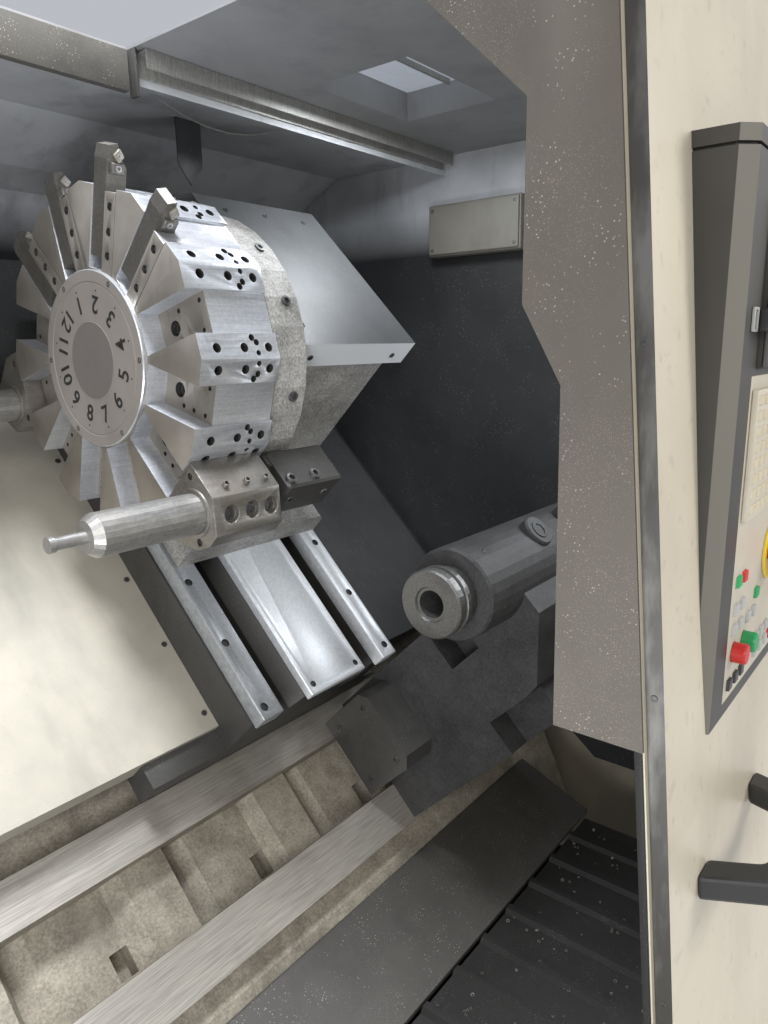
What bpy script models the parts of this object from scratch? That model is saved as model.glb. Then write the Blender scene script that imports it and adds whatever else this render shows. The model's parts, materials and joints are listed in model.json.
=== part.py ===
"""A CNC turning lathe with a 45 degree slant bed, a twelve-station turret and a tailstock.

Metres, +Z up. The spindle axis runs along X at SPINDLE_Y, SPINDLE_Z. The operator stands at -Y.
Everything on the slant bed is drawn in the slant frame, an empty on the spindle axis turned by
SLANT about X: its own Y runs up the bed (called up below), its own Z stands off the bed (called off).
"""
import bpy
import bmesh
from math import cos, hypot, pi, radians, sin, tan, tau, acos, atan2
from mathutils import Matrix, Vector

# Clearances and sheet
GAP = 0.0003
SLIP = 0.0005
SHEET = 0.003

# Machine frame
LENGTH = 3.90
REAR_Y = 1.02
ROOF_TOP = 2.030
SPINDLE_Y = -0.42
SPINDLE_Z = 1.15
SLANT = radians(45)

# Front skin, which leans back
LEAN = radians(5.2)
SKIN_Y_AT_SPINDLE = -0.931
DOOR_BOTTOM = 0.56
HEADER_HIGH = 0.055
HEADER_DEEP = 0.056
DOOR_TOP = ROOF_TOP - HEADER_HIGH
DOOR_LEFT = 0.61
DOOR_WIDTH = 1.22
DOOR_THICK = 0.016
APRON_FLANGE = 0.10
OPENING_LEFT = -0.55

# Bed casting, heights off the slant measured from the spindle axis
BED_LEFT = -1.40
BED_RIGHT = 1.75
BED_FACE = -0.56
BED_TOE_UP = -0.33
BED_HEAD_UP = 0.90
BED_FOOT_Z = 0.06
BED_FRONT_Y = -0.36
BED_KNEE_Z = 0.30
BED_WALL = 0.045
BED_CHAMBER_OFF = -0.700
BED_CHAMBERS = 8
SEAT_RIGHT = -0.62
SEAT_SINK = 0.005
TAIL_WAY_OFF = -0.52
TAIL_WAY_LOW = (-0.290, -0.205)
TAIL_WAY_HIGH = (-0.055, 0.022)
CARRIAGE_WAY_OFF = -0.50
CARRIAGE_WAY_LOW = (0.15, 0.24)
CARRIAGE_WAY_HIGH = (0.72, 0.81)
VALLEY_BASE_OFF = -0.645
VALLEY_OFF = -0.600
VALLEY_FIRST = -0.29
VALLEY_PITCH = 0.30
HUMP_WIDE = 0.085
HUMP_HIGH = 0.022
HUMP_SLOPE = 0.030
GULLY_DEEP = 0.012
CORE_HOLE = (0.032, 0.046, 0.035)
FOOT_SIZE = 0.16
FOOT_COUNT = 4

# Headstock and spindle
HEAD_LEFT = -1.34
HEAD_FACE = -0.74
HEAD_NOSE = 0.06
HEAD_NOSE_R = 0.19
SPINDLE_R = 0.07
SPINDLE_TAIL = -1.89
FLANGE_R = 0.11
FLANGE_LONG = 0.022
PULLEY_X = (-1.86, -1.78)
PULLEY_R = 0.14
MOTOR_PULLEY_R = 0.09
MOTOR_Y = 0.80
MOTOR_Z = 0.47
MOTOR_R = 0.16
MOTOR_LONG = 0.50
MOTOR_SHAFT_R = 0.024
SHELF_THICK = 0.05
BELT_THICK = 0.010
CHUCK_LONG = 0.13
CHUCK_R = 0.15
CHUCK_RECESS = 0.022
JAW_WIDE = 0.042
JAW_DEEP = 0.060
JAW_STAND = 0.085
JAW_INNER = 0.055
JAW_OUTER = 0.135
JAW_SLOT_DEEP = 0.016
JAW_STROKE = 0.010

# Carriage
SADDLE_X = (0.62, 1.20)
SADDLE_UP = (0.02, 0.93)
SADDLE_WING_OFF = -0.435
SADDLE_STEP_X = 0.778
CROSS_WAY_OFF = -0.30
CROSS_WAY_THICK = 0.035
CROSS_WAY_LEFT = (0.782, 0.830)
CROSS_WAY_RIGHT = (1.1135, 1.156)
CENTRE_PLATE = (0.902, 1.055)
CENTRE_PLATE_THICK = 0.020
CHANNEL_OFF = -0.40
CROSS_WAY_UP = 0.011
Z_TRAVEL = 0.70
WAY_COVER_OFF = -0.420
WAY_COVER_UP = (0.064, 0.89)
WAY_COVER_LIP = 0.055
WAY_COVER_LEFT_LONG = 0.579
WAY_COVER_RIGHT_LONG = 0.39
WALL_LEFT = -0.60
WALL_RIGHT = 1.62
Z_SCREW_UP = 0.48
Z_SCREW_OFF = -0.530
Z_SCREW_R = 0.025
Z_SCREW_X = (-0.50, 1.68)
X_SCREW_X = 0.98
X_SCREW_OFF = -0.357
X_SCREW_R = 0.016
FEED_MOTOR = 0.13

# Cross slide and turret
TURRET_X = 0.645
TURRET_UP = 0.583
TURRET_R = 0.263
TURRET_THICK = 0.146
STATIONS = 12
SLOT_WIDE = 0.0615
SLOT_DEEP = 0.034
SLOT_INNER_R = 0.1365
WEDGE_WIDE = 0.0275
KEY_SINK = 0.005
SHANK = 0.032
TOOL_TIP_R = 0.302
TOOL_STATIONS = (0, 30, 60, 90)
PLATE_R = 0.136
PLATE_THICK = 0.006
HUB_R = 0.080
RING_R = 0.240
RING_LONG = 0.070
SLIDE_UP = (0.34, 0.92)
SLIDE_THICK = 0.054
SLIDE_CLEAR = 0.0015
SLIDE_NIP = 0.014
HOUSING_X = (0.861, 1.150)
HOUSING_UP = (0.45, 0.84)
COVER_X = (0.872, 1.172)
COVER_OFF = 0.180
COVER_UP = (0.43, 0.80)
COVER_LIP = 0.051
BAR_R = 0.030
BAR_REACH = 0.169
BAR_HEAD = 0.035
NECK_R = 0.0085
NECK_LONG = 0.042
TIP_R = 0.0105
BAR_STATION_R = 0.310
BLOCK_X = (0.648, 0.776)
COLLAR_R = 0.037
COLLAR_PROUD = 0.003
LOCK_HOLE_R = 0.0135
LOCK_HOLE_DEEP = 0.009
LOCK_HOLES = (0.032, 0.072, 0.109)
COOLANT_X = (0.805, 0.930)
X_TRAVEL = 0.28

# Tailstock
TAIL_X = (1.142, 1.56)
TAIL_UP = (-0.286, 0.0)
TAIL_JOINT_OFF = -0.31
TAIL_FOOT_OFF = -0.19
TAIL_NOSE_X = 1.03
TAIL_NOSE_R = 0.085
QUILL_FACE_X = 0.968
QUILL_R = 0.054
QUILL_COLLAR_R = 0.061
QUILL_BORE_R = 0.0245
QUILL_TRAVEL = 0.10
TAIL_TRAVEL = 0.55

# Enclosure
TANK_Z = 0.06
CONVEYOR_Z = 0.42
CONVEYOR_Y = (-0.84, -0.46)
CONVEYOR_X = (-0.55, 1.60)
SLAT_PITCH = 0.10
SLAT_HIGH = 0.010
CONVEYOR_THICK = 0.012
ROOF_THICK = 0.004
ROOF_OPEN_RIGHT = 0.745
ROOF_OPEN_REAR = -0.01
LAMP_X = (1.05, 1.33)
LAMP_Y = (-0.32, -0.11)
LAMP_HIGH = 0.06
JAMB_X = 0.60
JAMB_FOOT_DROP = 0.808
JAMB_NECK_DROP = (0.489, 0.420)
JAMB_HEAD_DROP = (0.254, 0.085)
JAMB_EDGE_Y = (-0.822, -0.817)
JAMB_NECK_Y = -0.778
JAMB_HEAD_Y = -0.60
GUARD_Y = 0.70
GUARD_FOOT_Z = 1.44
BOX_X = (0.716, 1.17)
BOX_Z = (DOOR_TOP - 0.785, DOOR_TOP - 0.220)
BOX_TOE = 0.0026
BOX_NIP = 0.014
BOX_CAP = 0.014
BOX_SEAM = 0.003
KEY_RELIEF = 0.004
PANEL_EDGE = (0.072, 0.045)
SCREEN_DROP = (0.055, 0.205)
KEY_DROP = 0.232
KEY_PITCH = 0.022
KEY_HIGH = 0.014
KEY_ROWS = 5
DIAL_X = 1.02
ESTOP_X = 0.931
ESTOP_Z = BOX_Z[0] + 0.149
ESTOP_STEM_R = 0.012
ESTOP_PRESS = 0.005
BUTTON_Z = BOX_Z[0] + 0.065
BUTTON_X = (0.80, 0.84)
BUTTON_R = 0.011
BUTTON_PRESS = 0.003
HANDLE_Z = 1.042
HANDLE_X = (0.690, 0.930)
HANDLE_TALL = 0.026
HANDLE_LEG = 0.036
HANDLE_GRIP = 0.028
HANDLE_OUT = 0.079
HANDLE_SPLAY = 0.034
HANDLE_ROUND = 0.022
WINDOW_DROP = (0.925, 0.255)

CUTTERS = "cutters"


def skin_y(z):
    """The front skin's y at a height: the skin leans back as it rises."""
    return SKIN_Y_AT_SPINDLE + (z - SPINDLE_Z) * tan(LEAN)


def bed_yz(up, off):
    """World y and z of a place in the slant frame."""
    y = SPINDLE_Y + up * cos(SLANT) - off * sin(SLANT)
    z = SPINDLE_Z + up * sin(SLANT) + off * cos(SLANT)
    return (y, z)


def clear_radius(radius, segments):
    """Corner radius of a faceted hole that lets a round of this radius turn in it."""
    return (radius + GAP) / cos(pi / segments)


def clear_scene():
    for obj in list(bpy.data.objects):
        bpy.data.objects.remove(obj, do_unlink=True)


def collection(name):
    found = bpy.data.collections.get(name)
    if found is None:
        found = bpy.data.collections.new(name)
        bpy.context.scene.collection.children.link(found)
    return found


def material(name, colour, roughness, metallic):
    """One plain Principled material, made once for each name."""
    found = bpy.data.materials.get(name)
    if found is None:
        found = bpy.data.materials.new(name)
        found.use_nodes = True
        shader = found.node_tree.nodes["Principled BSDF"]
        shader.inputs["Base Color"].default_value = (*colour, 1)
        shader.inputs["Roughness"].default_value = roughness
        shader.inputs["Metallic"].default_value = metallic
    return found


def cast_grey():
    return material("cast_grey", (0.30, 0.29, 0.26), 0.7, 0.2)


def ground_steel():
    return material("ground_steel", (0.62, 0.63, 0.65), 0.3, 0.9)


def dark_steel():
    return material("dark_steel", (0.16, 0.16, 0.17), 0.4, 0.8)


def cream_paint():
    return material("cream_paint", (0.72, 0.67, 0.56), 0.4, 0.0)


def grey_paint():
    return material("grey_paint", (0.27, 0.26, 0.25), 0.5, 0.1)


def black_plastic():
    return material("black_plastic", (0.04, 0.04, 0.045), 0.45, 0.0)


def place(obj, name, look, parent=None, at=(0, 0, 0), turn=(0, 0, 0)):
    """Names a finished object, gives it its material and puts it in the lathe's collection."""
    obj.name = name
    obj.data.name = name
    obj.data.materials.clear()
    obj.data.materials.append(look)
    obj.parent = parent
    obj.location = at
    obj.rotation_euler = turn
    for home in list(obj.users_collection):
        home.objects.unlink(obj)
    collection("turning_lathe").objects.link(obj)
    bpy.context.view_layer.update()
    return obj


def empty(name, at, turn=(0, 0, 0), parent=None):
    obj = bpy.data.objects.new(name, None)
    obj.location = at
    obj.rotation_euler = turn
    obj.parent = parent
    collection("turning_lathe").objects.link(obj)
    bpy.context.view_layer.update()
    return obj


# An outline lies in its own x and y, and its thickness runs along its own z.
# ACROSS stands it across the machine: x to y, y to z, thickness along x.
ACROSS = (radians(90), 0, radians(90))
FRONT = (radians(90), 0, 0)
PLAN = (0, 0, 0)


def outline_mesh(loops, thick):
    """A flat 2D curve, filled on both sides and extruded, made into a closed mesh."""
    curve = bpy.data.curves.new("outline", "CURVE")
    curve.dimensions = "2D"
    curve.fill_mode = "BOTH"
    curve.extrude = thick / 2
    for loop in loops:
        spline = curve.splines.new("POLY")
        spline.points.add(len(loop) - 1)
        for point, (x, y) in zip(spline.points, loop):
            point.co = (x, y, 0, 1)
        spline.use_cyclic_u = True
    guide = bpy.data.objects.new("outline", curve)
    bpy.context.scene.collection.objects.link(guide)
    bpy.context.view_layer.update()
    solid = guide.evaluated_get(bpy.context.evaluated_depsgraph_get())
    mesh = bpy.data.meshes.new_from_object(solid)
    bpy.data.objects.remove(guide, do_unlink=True)
    bpy.data.curves.remove(curve)
    weld(mesh)
    return mesh


def weld(mesh):
    bm = bmesh.new()
    bm.from_mesh(mesh)
    bmesh.ops.remove_doubles(bm, verts=bm.verts, dist=0.00002)
    bmesh.ops.dissolve_limit(bm, angle_limit=0.001, verts=bm.verts, edges=bm.edges)
    bmesh.ops.recalc_face_normals(bm, faces=bm.faces)
    bm.to_mesh(mesh)
    bm.free()


def prism(name, look, loops, span, lay, parent=None):
    """An outline (or an outline with holes) given its thickness between two places."""
    if not isinstance(loops[0][0], (tuple, list)):
        loops = [loops]
    obj = bpy.data.objects.new(name, outline_mesh(loops, span[1] - span[0]))
    middle = (span[0] + span[1]) / 2
    if lay == ACROSS:
        at = (middle, 0, 0)
    elif lay == FRONT:
        at = (0, middle, 0)
    else:
        at = (0, 0, middle)
    return place(obj, name, look, parent, at, lay)


def arc(centre, radius, start, end, steps):
    """Points along an arc, angles in degrees."""
    turns = [radians(start + (end - start) * i / steps) for i in range(steps + 1)]
    return [(centre[0] + radius * cos(t), centre[1] + radius * sin(t)) for t in turns]


def turned(name, look, profile, steps, parent=None, at=(0, 0, 0), turn=(0, radians(90), 0)):
    """A turned shape: radius and height pairs, swept round by a Screw modifier."""
    mesh = bpy.data.meshes.new(name)
    closed = profile[0] == profile[-1]
    points = profile[:-1] if closed else profile
    count = len(points)
    edges = [(i, i + 1) for i in range(count - 1)]
    if closed:
        edges.append((count - 1, 0))
    mesh.from_pydata([(r, 0, h) for r, h in points], edges, [])
    obj = bpy.data.objects.new(name, mesh)
    bpy.context.scene.collection.objects.link(obj)
    screw = obj.modifiers.new("turn", "SCREW")
    screw.steps = steps
    screw.render_steps = steps
    screw.use_merge_vertices = True
    screw.merge_threshold = 0.0001
    bpy.context.view_layer.update()
    solid = bpy.data.meshes.new_from_object(obj.evaluated_get(bpy.context.evaluated_depsgraph_get()))
    obj.modifiers.clear()
    old = obj.data
    obj.data = solid
    bpy.data.meshes.remove(old)
    tidy_turned(solid)
    place(obj, name, look, parent, at, turn)
    return obj


def tidy_turned(mesh):
    bm = bmesh.new()
    bm.from_mesh(mesh)
    bmesh.ops.remove_doubles(bm, verts=bm.verts, dist=0.00002)
    bmesh.ops.recalc_face_normals(bm, faces=bm.faces)
    bm.to_mesh(mesh)
    bm.free()
    mesh.shade_smooth()
    mesh.set_sharp_from_angle(angle=radians(35))


def as_tool(obj):
    """Makes an object a cutter or a joined piece, which the build leaves out."""
    obj.hide_render = True
    obj.display_type = "WIRE"
    for home in list(obj.users_collection):
        home.objects.unlink(obj)
    collection(CUTTERS).objects.link(obj)
    obj.name = "tool_" + obj.name
    return obj


def boolean(obj, tool, operation):
    step = obj.modifiers.new(operation.lower(), "BOOLEAN")
    step.operation = operation
    step.solver = "EXACT"
    step.object = as_tool(tool)
    return obj


def cut(obj, *tools):
    for tool in tools:
        boolean(obj, tool, "DIFFERENCE")
    return obj


def join(obj, *tools):
    for tool in tools:
        boolean(obj, tool, "UNION")
    return obj


def blocks(name, sizes_and_places, parent=None):
    """Several box-shaped cutters in one object: (size, matrix) pairs that don't meet."""
    bm = bmesh.new()
    for size, matrix in sizes_and_places:
        scaled = matrix @ Matrix.Diagonal((*size, 1))
        bmesh.ops.create_cube(bm, size=1, matrix=scaled)
    mesh = bpy.data.meshes.new(name)
    bm.to_mesh(mesh)
    bm.free()
    return place(bpy.data.objects.new(name, mesh), name, grey_paint(), parent)


def box(name, look, low, high, parent=None):
    """A box between two corners, its object at its middle."""
    size = [b - a for a, b in zip(low, high)]
    middle = [(a + b) / 2 for a, b in zip(low, high)]
    bm = bmesh.new()
    bmesh.ops.create_cube(bm, size=1, matrix=Matrix.Diagonal((*size, 1)))
    mesh = bpy.data.meshes.new(name)
    bm.to_mesh(mesh)
    bm.free()
    return place(bpy.data.objects.new(name, mesh), name, look, parent, middle)


def bevel(obj, width, segments=1, angle=35):
    step = obj.modifiers.new("edges", "BEVEL")
    step.width = width
    step.segments = segments
    step.limit_method = "ANGLE"
    step.angle_limit = radians(angle)
    return obj


def shell(name, look, outline, span, drop, parent=None, thick=SHEET):
    """A folded sheet: a prism across the machine whose dropped faces are open, given its wall inwards."""
    obj = prism(name, look, outline, span, ACROSS, parent)
    bm = bmesh.new()
    bm.from_mesh(obj.data)
    turn = obj.rotation_euler.to_matrix()
    gone = [f for f in bm.faces if drop(turn @ f.normal, turn @ f.calc_center_median() + obj.location)]
    bmesh.ops.delete(bm, geom=gone, context="FACES")
    bm.to_mesh(obj.data)
    bm.free()
    step = obj.modifiers.new("wall", "SOLIDIFY")
    step.thickness = thick
    step.offset = -1
    step.use_even_offset = True
    return obj


def strip(points, thick):
    """A closed outline of a folded sheet that follows the points, its wall on the left of the path."""
    path = [Vector(p) for p in points]
    inner = []
    for i, point in enumerate(path):
        before = (point - path[i - 1]).normalized() if i else None
        after = (path[i + 1] - point).normalized() if i + 1 < len(path) else None
        way = (before or after) + (after or before)
        way.normalize()
        side = Vector((-way.y, way.x))
        run = before or after
        square = Vector((-run.y, run.x))
        inner.append(point + side * thick / side.dot(square))
    return [tuple(p) for p in path] + [tuple(p) for p in reversed(inner)]


def bed_casting(slant):
    """The slanted bed: one casting with its box ways, the rough valley between two of them, and its feet."""
    ways = [(BED_TOE_UP, BED_FACE)]
    for low, high in (TAIL_WAY_LOW, TAIL_WAY_HIGH):
        ways += [(low, BED_FACE), (low, TAIL_WAY_OFF), (high, TAIL_WAY_OFF), (high, BED_FACE)]
    for inner in (4, 5):
        ways[inner] = (ways[inner][0], VALLEY_BASE_OFF)
    for low, high in (CARRIAGE_WAY_LOW, CARRIAGE_WAY_HIGH):
        ways += [(low, BED_FACE), (low, CARRIAGE_WAY_OFF), (high, CARRIAGE_WAY_OFF), (high, BED_FACE)]
    ways.append((BED_HEAD_UP, BED_FACE))
    outline = [bed_yz(up, off) for up, off in ways]
    rear_y = outline[-1][0]
    outline += [(rear_y, BED_FOOT_Z), (BED_FRONT_Y, BED_FOOT_Z), (BED_FRONT_Y, BED_KNEE_Z)]
    bed = prism("bed_casting", cast_grey(), outline, (BED_LEFT, BED_RIGHT), ACROSS)
    seat = box("seat", cast_grey(), (BED_LEFT - 0.1, TAIL_WAY_LOW[0] - 0.02, BED_FACE - SEAT_SINK),
               (SEAT_RIGHT, BED_HEAD_UP - 0.02, BED_FACE + 0.2), slant)
    join(bed, valley_floor(slant))
    cut(bed, seat, core_holes(slant), *bed_hollows(rear_y))
    feet = [box("foot", cast_grey(), (x - FOOT_SIZE / 2, y, 0), (x + FOOT_SIZE / 2, y + FOOT_SIZE, BED_FOOT_Z + 0.02))
            for y in (BED_FRONT_Y + 0.02, rear_y - FOOT_SIZE - 0.02)
            for x in foot_places()]
    shelf = box("shelf", cast_grey(), (HEAD_LEFT, rear_y - 0.05, MOTOR_Z - MOTOR_R - GAP - SHELF_THICK),
                (HEAD_LEFT + MOTOR_LONG, MOTOR_Y + MOTOR_R, MOTOR_Z - MOTOR_R - GAP))
    lugs = [box("lug", cast_grey(), (x, Z_SCREW_UP - 0.05, BED_FACE - 0.02),
                (x + 0.06, Z_SCREW_UP + 0.05, CARRIAGE_WAY_OFF - 0.004), slant)
            for x in (Z_SCREW_X[0] - 0.06, Z_SCREW_X[1])]
    join(bed, *feet, shelf, *lugs)
    return bed


def bed_hollows(rear_y):
    """Chambers open below, with cross walls left between them."""
    front = BED_FRONT_Y + BED_WALL
    rear = rear_y - BED_WALL
    roof = [SPINDLE_Z + (y - SPINDLE_Y) + BED_CHAMBER_OFF / cos(SLANT) for y in (front, rear)]
    outline = [(front, -0.1), (front, roof[0]), (rear, roof[1]), (rear, -0.1)]
    long = (BED_RIGHT - BED_LEFT - BED_WALL) / BED_CHAMBERS
    starts = [BED_LEFT + BED_WALL + long * i for i in range(BED_CHAMBERS)]
    return [prism("chamber", cast_grey(), outline, (x, x + long - BED_WALL), ACROSS) for x in starts]


def foot_places():
    first = BED_LEFT + FOOT_SIZE
    last = BED_RIGHT - FOOT_SIZE
    return [first + (last - first) * i / (FOOT_COUNT - 1) for i in range(FOOT_COUNT)]


def hump_places():
    """Middles of the humps that the bed's cross ribs raise in the valley."""
    count = int((BED_RIGHT - VALLEY_FIRST) / VALLEY_PITCH) + 1
    return [VALLEY_FIRST + VALLEY_PITCH * i for i in range(count)]


def valley_floor(slant):
    """The cast floor between the tailstock ways: a sloped hump over each rib and a gully on its far side."""
    end = 0.001
    half = HUMP_WIDE / 2
    top = VALLEY_OFF + HUMP_HIGH
    gully = VALLEY_OFF - GULLY_DEEP
    points = [(BED_LEFT + end, VALLEY_BASE_OFF - 0.01), (BED_LEFT + end, BED_FACE), (SEAT_RIGHT + 0.02, BED_FACE),
              (SEAT_RIGHT + 0.05, VALLEY_OFF)]
    for x in hump_places():
        points += [(x - half - HUMP_SLOPE, VALLEY_OFF), (x - half, top), (x + half, top), (x + half + 0.5 * HUMP_SLOPE, gully),
                   (x + half + HUMP_SLOPE, gully), (x + half + 1.8 * HUMP_SLOPE, VALLEY_OFF)]
    points += [(BED_RIGHT - end, VALLEY_OFF), (BED_RIGHT - end, VALLEY_BASE_OFF - 0.01)]
    return prism("valley", cast_grey(), points, (TAIL_WAY_LOW[1] - 0.01, TAIL_WAY_HIGH[0] + 0.01), FRONT, slant)


def core_holes(slant):
    """Small square core holes beside the lower way, one before each hump."""
    holes = []
    for x in hump_places():
        at = (x - HUMP_WIDE / 2 - HUMP_SLOPE - CORE_HOLE[0] / 2, TAIL_WAY_LOW[1] + CORE_HOLE[1] / 2 + 0.002, VALLEY_OFF)
        holes.append(((CORE_HOLE[0], CORE_HOLE[1], 2 * CORE_HOLE[2]), Matrix.Translation(at)))
    return blocks("core_holes", holes, slant)


def headstock(slant):
    """The spindle's housing, bolted to the bed's seat, with a round nose and a bore for the spindle."""
    foot = BED_FACE - SEAT_SINK + GAP
    outline = [(-0.27, foot), (0.36, foot), (0.36, -0.12), (0.24, 0.18), (0.14, 0.22),
               (-0.12, 0.22), (-0.22, 0.12), (-0.22, -0.26), (-0.27, -0.34)]
    head = prism("headstock_casting", cast_grey(), outline, (HEAD_LEFT, HEAD_FACE), ACROSS, slant)
    nose = turned("nose", cast_grey(), [(0, HEAD_NOSE), (HEAD_NOSE_R - 0.02, HEAD_NOSE), (HEAD_NOSE_R, HEAD_NOSE - 0.02),
                                        (HEAD_NOSE_R, -0.05), (0, -0.05)], 32, slant, (HEAD_FACE, 0, 0))
    bore_r = clear_radius(SPINDLE_R, 32)
    bore = turned("bore", cast_grey(), [(0, 1), (bore_r, 1), (bore_r, -1), (0, -1)], 32, slant, (HEAD_FACE, 0, 0))
    join(head, nose)
    cut(head, bore)
    return head


def spindle(axis):
    """The spindle with a flange for the chuck, a belt pulley at its tail and the chuck's hydraulic cylinder behind it."""
    face = HEAD_FACE + HEAD_NOSE + GAP
    neck = SPINDLE_R - 0.015
    profile = [(0, face + FLANGE_LONG), (FLANGE_R, face + FLANGE_LONG), (FLANGE_R, face), (SPINDLE_R, face),
               (SPINDLE_R, HEAD_LEFT - 0.02), (neck, HEAD_LEFT - 0.02), (neck, PULLEY_X[1]), (PULLEY_R, PULLEY_X[1]),
               (PULLEY_R, PULLEY_X[0]), (SPINDLE_R, PULLEY_X[0]), (SPINDLE_R, SPINDLE_TAIL), (0, SPINDLE_TAIL)]
    return turned("spindle", ground_steel(), profile, 32, axis)


def chuck(axis):
    """A three-jaw power chuck with a closed centre and radial jaw slots."""
    back = HEAD_FACE + HEAD_NOSE + GAP + FLANGE_LONG + GAP
    face = back + CHUCK_LONG
    profile = [(0, face - CHUCK_RECESS), (JAW_INNER - 0.008, face - CHUCK_RECESS), (JAW_INNER - 0.008, face),
               (CHUCK_R - 0.012, face), (CHUCK_R, face - 0.012), (CHUCK_R, back), (0, back)]
    body = turned("chuck_body", ground_steel(), profile, 32, axis)
    slots = []
    for i in range(3):
        turn = Matrix.Rotation(tau * i / 3, 4, "X")
        at = turn @ Matrix.Translation((face, 0, JAW_INNER - JAW_STROKE - 0.002 + CHUCK_R / 2))
        slots.append(((2 * JAW_SLOT_DEEP, JAW_WIDE + 2 * SLIP, CHUCK_R), at))
    cut(body, blocks("jaw_slots", slots, axis))
    jaws = [jaw(axis, i, face) for i in range(3)]
    return [body, *jaws]


def jaw(axis, index, face):
    """A stepped soft jaw standing in its slot."""
    floor = face - JAW_SLOT_DEEP + GAP
    top = face + JAW_STAND
    step = face + JAW_STAND * 0.5
    outline = [(JAW_INNER, floor), (JAW_OUTER, floor), (JAW_OUTER, step), (JAW_INNER + 0.035, step),
               (JAW_INNER + 0.035, top), (JAW_INNER, top)]
    outline = [(x, r) for r, x in outline]
    obj = prism(f"jaw_{index + 1}", ground_steel(), outline, (-JAW_WIDE / 2, JAW_WIDE / 2), FRONT, axis)
    obj.rotation_euler = (Matrix.Rotation(tau * index / 3, 3, "X") @ Matrix.Rotation(radians(90), 3, "X")).to_euler()
    bpy.context.view_layer.update()
    return obj


def spindle_motor():
    """The main motor on its shelf behind the bed, lying along X."""
    right = HEAD_LEFT + MOTOR_LONG
    body = MOTOR_R * 0.94
    profile = [(0, MOTOR_LONG), (body * 0.8, MOTOR_LONG), (body, MOTOR_LONG - 0.03), (body, 0.04),
               (body * 0.9, 0.04), (body * 0.9, 0), (0, 0)]
    motor = turned("spindle_motor", grey_paint(), profile, 24, None, (HEAD_LEFT, MOTOR_Y, MOTOR_Z))
    foot = box("motor_foot", grey_paint(), (HEAD_LEFT + 0.06, MOTOR_Y - MOTOR_R * 0.8, MOTOR_Z - MOTOR_R),
               (right - 0.06, MOTOR_Y + MOTOR_R * 0.8, MOTOR_Z - MOTOR_R * 0.7))
    terminal = box("terminal_box", grey_paint(), (HEAD_LEFT + 0.12, MOTOR_Y - 0.07, MOTOR_Z + body - 0.03),
                   (HEAD_LEFT + 0.30, MOTOR_Y + 0.07, MOTOR_Z + body + 0.05))
    join(motor, foot, terminal)
    return motor


def motor_pulley(axis):
    """The small pulley and its shaft, which end at the motor's face."""
    long = HEAD_LEFT - GAP - PULLEY_X[0]
    wide = PULLEY_X[1] - PULLEY_X[0]
    profile = [(0, long), (MOTOR_SHAFT_R, long), (MOTOR_SHAFT_R, wide), (MOTOR_PULLEY_R, wide),
               (MOTOR_PULLEY_R, 0), (0, 0)]
    return turned("motor_pulley", dark_steel(), profile, 32, axis, (PULLEY_X[0], 0, 0))


def belt_loop(grow):
    """The belt's path round both pulleys, grown outwards, as y and z points."""
    small = Vector((MOTOR_Y, MOTOR_Z))
    big = Vector((SPINDLE_Y, SPINDLE_Z))
    line = small - big
    tilt = atan2(line.y, line.x)
    bend = acos((PULLEY_R - MOTOR_PULLEY_R) / line.length)
    def wrap(centre, radius, start, end, steps):
        reach = clear_radius(radius + GAP / 2, 32) + grow
        turns = [start + (end - start) * i / steps for i in range(steps + 1)]
        return [(centre.x + reach * cos(t), centre.y + reach * sin(t)) for t in turns]
    points = wrap(big, PULLEY_R, tilt + bend, tilt + tau - bend, 24)
    points += wrap(small, MOTOR_PULLEY_R, tilt - bend, tilt + bend, 14)
    return points


def drive_belt():
    return prism("drive_belt", black_plastic(), [belt_loop(BELT_THICK), belt_loop(0)],
                 (PULLEY_X[0] + 0.006, PULLEY_X[1] - 0.006), ACROSS)


def feed_screws(slant):
    """The two ball screws, plain outside: the thread is left to the finish."""
    gap_long = Z_SCREW_X[1] - Z_SCREW_X[0] - 2 * GAP
    z_axis = empty("z_screw_axis", (Z_SCREW_X[0] + GAP, Z_SCREW_UP, Z_SCREW_OFF), parent=slant)
    rod = [(0, gap_long), (Z_SCREW_R, gap_long), (Z_SCREW_R, 0), (0, 0)]
    z_screw = turned("z_ball_screw", ground_steel(), rod, 16, z_axis)
    long = SADDLE_UP[1] - SADDLE_UP[0] - 0.02
    x_axis = empty("x_screw_axis", (X_SCREW_X, SADDLE_UP[1] - long, X_SCREW_OFF), parent=slant)
    rod = [(0, long), (X_SCREW_R, long), (X_SCREW_R, 0), (0, 0)]
    x_screw = turned("x_ball_screw", ground_steel(), rod, 16, x_axis, turn=(radians(-90), 0, 0))
    return [z_screw, x_screw]


def feed_motor_outline(x, y):
    """A square motor section with cut corners."""
    half = FEED_MOTOR / 2
    nip = 0.018
    corners = [(-half + nip, -half), (half - nip, -half), (half, -half + nip), (half, half - nip),
               (half - nip, half), (-half + nip, half), (-half, half - nip), (-half, -half + nip)]
    return [(x + a, y + b) for a, b in corners]


def feed_motors(slant):
    z_motor = prism("z_motor", black_plastic(), feed_motor_outline(Z_SCREW_UP, Z_SCREW_OFF - 0.06),
                    (BED_RIGHT + GAP, BED_RIGHT + 0.17), ACROSS, slant)
    x_motor = prism("x_motor", black_plastic(), feed_motor_outline(X_SCREW_X, X_SCREW_OFF + 0.004),
                    (SADDLE_UP[1] + GAP, SADDLE_UP[1] + 0.15), FRONT, slant)
    return [z_motor, x_motor]


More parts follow.
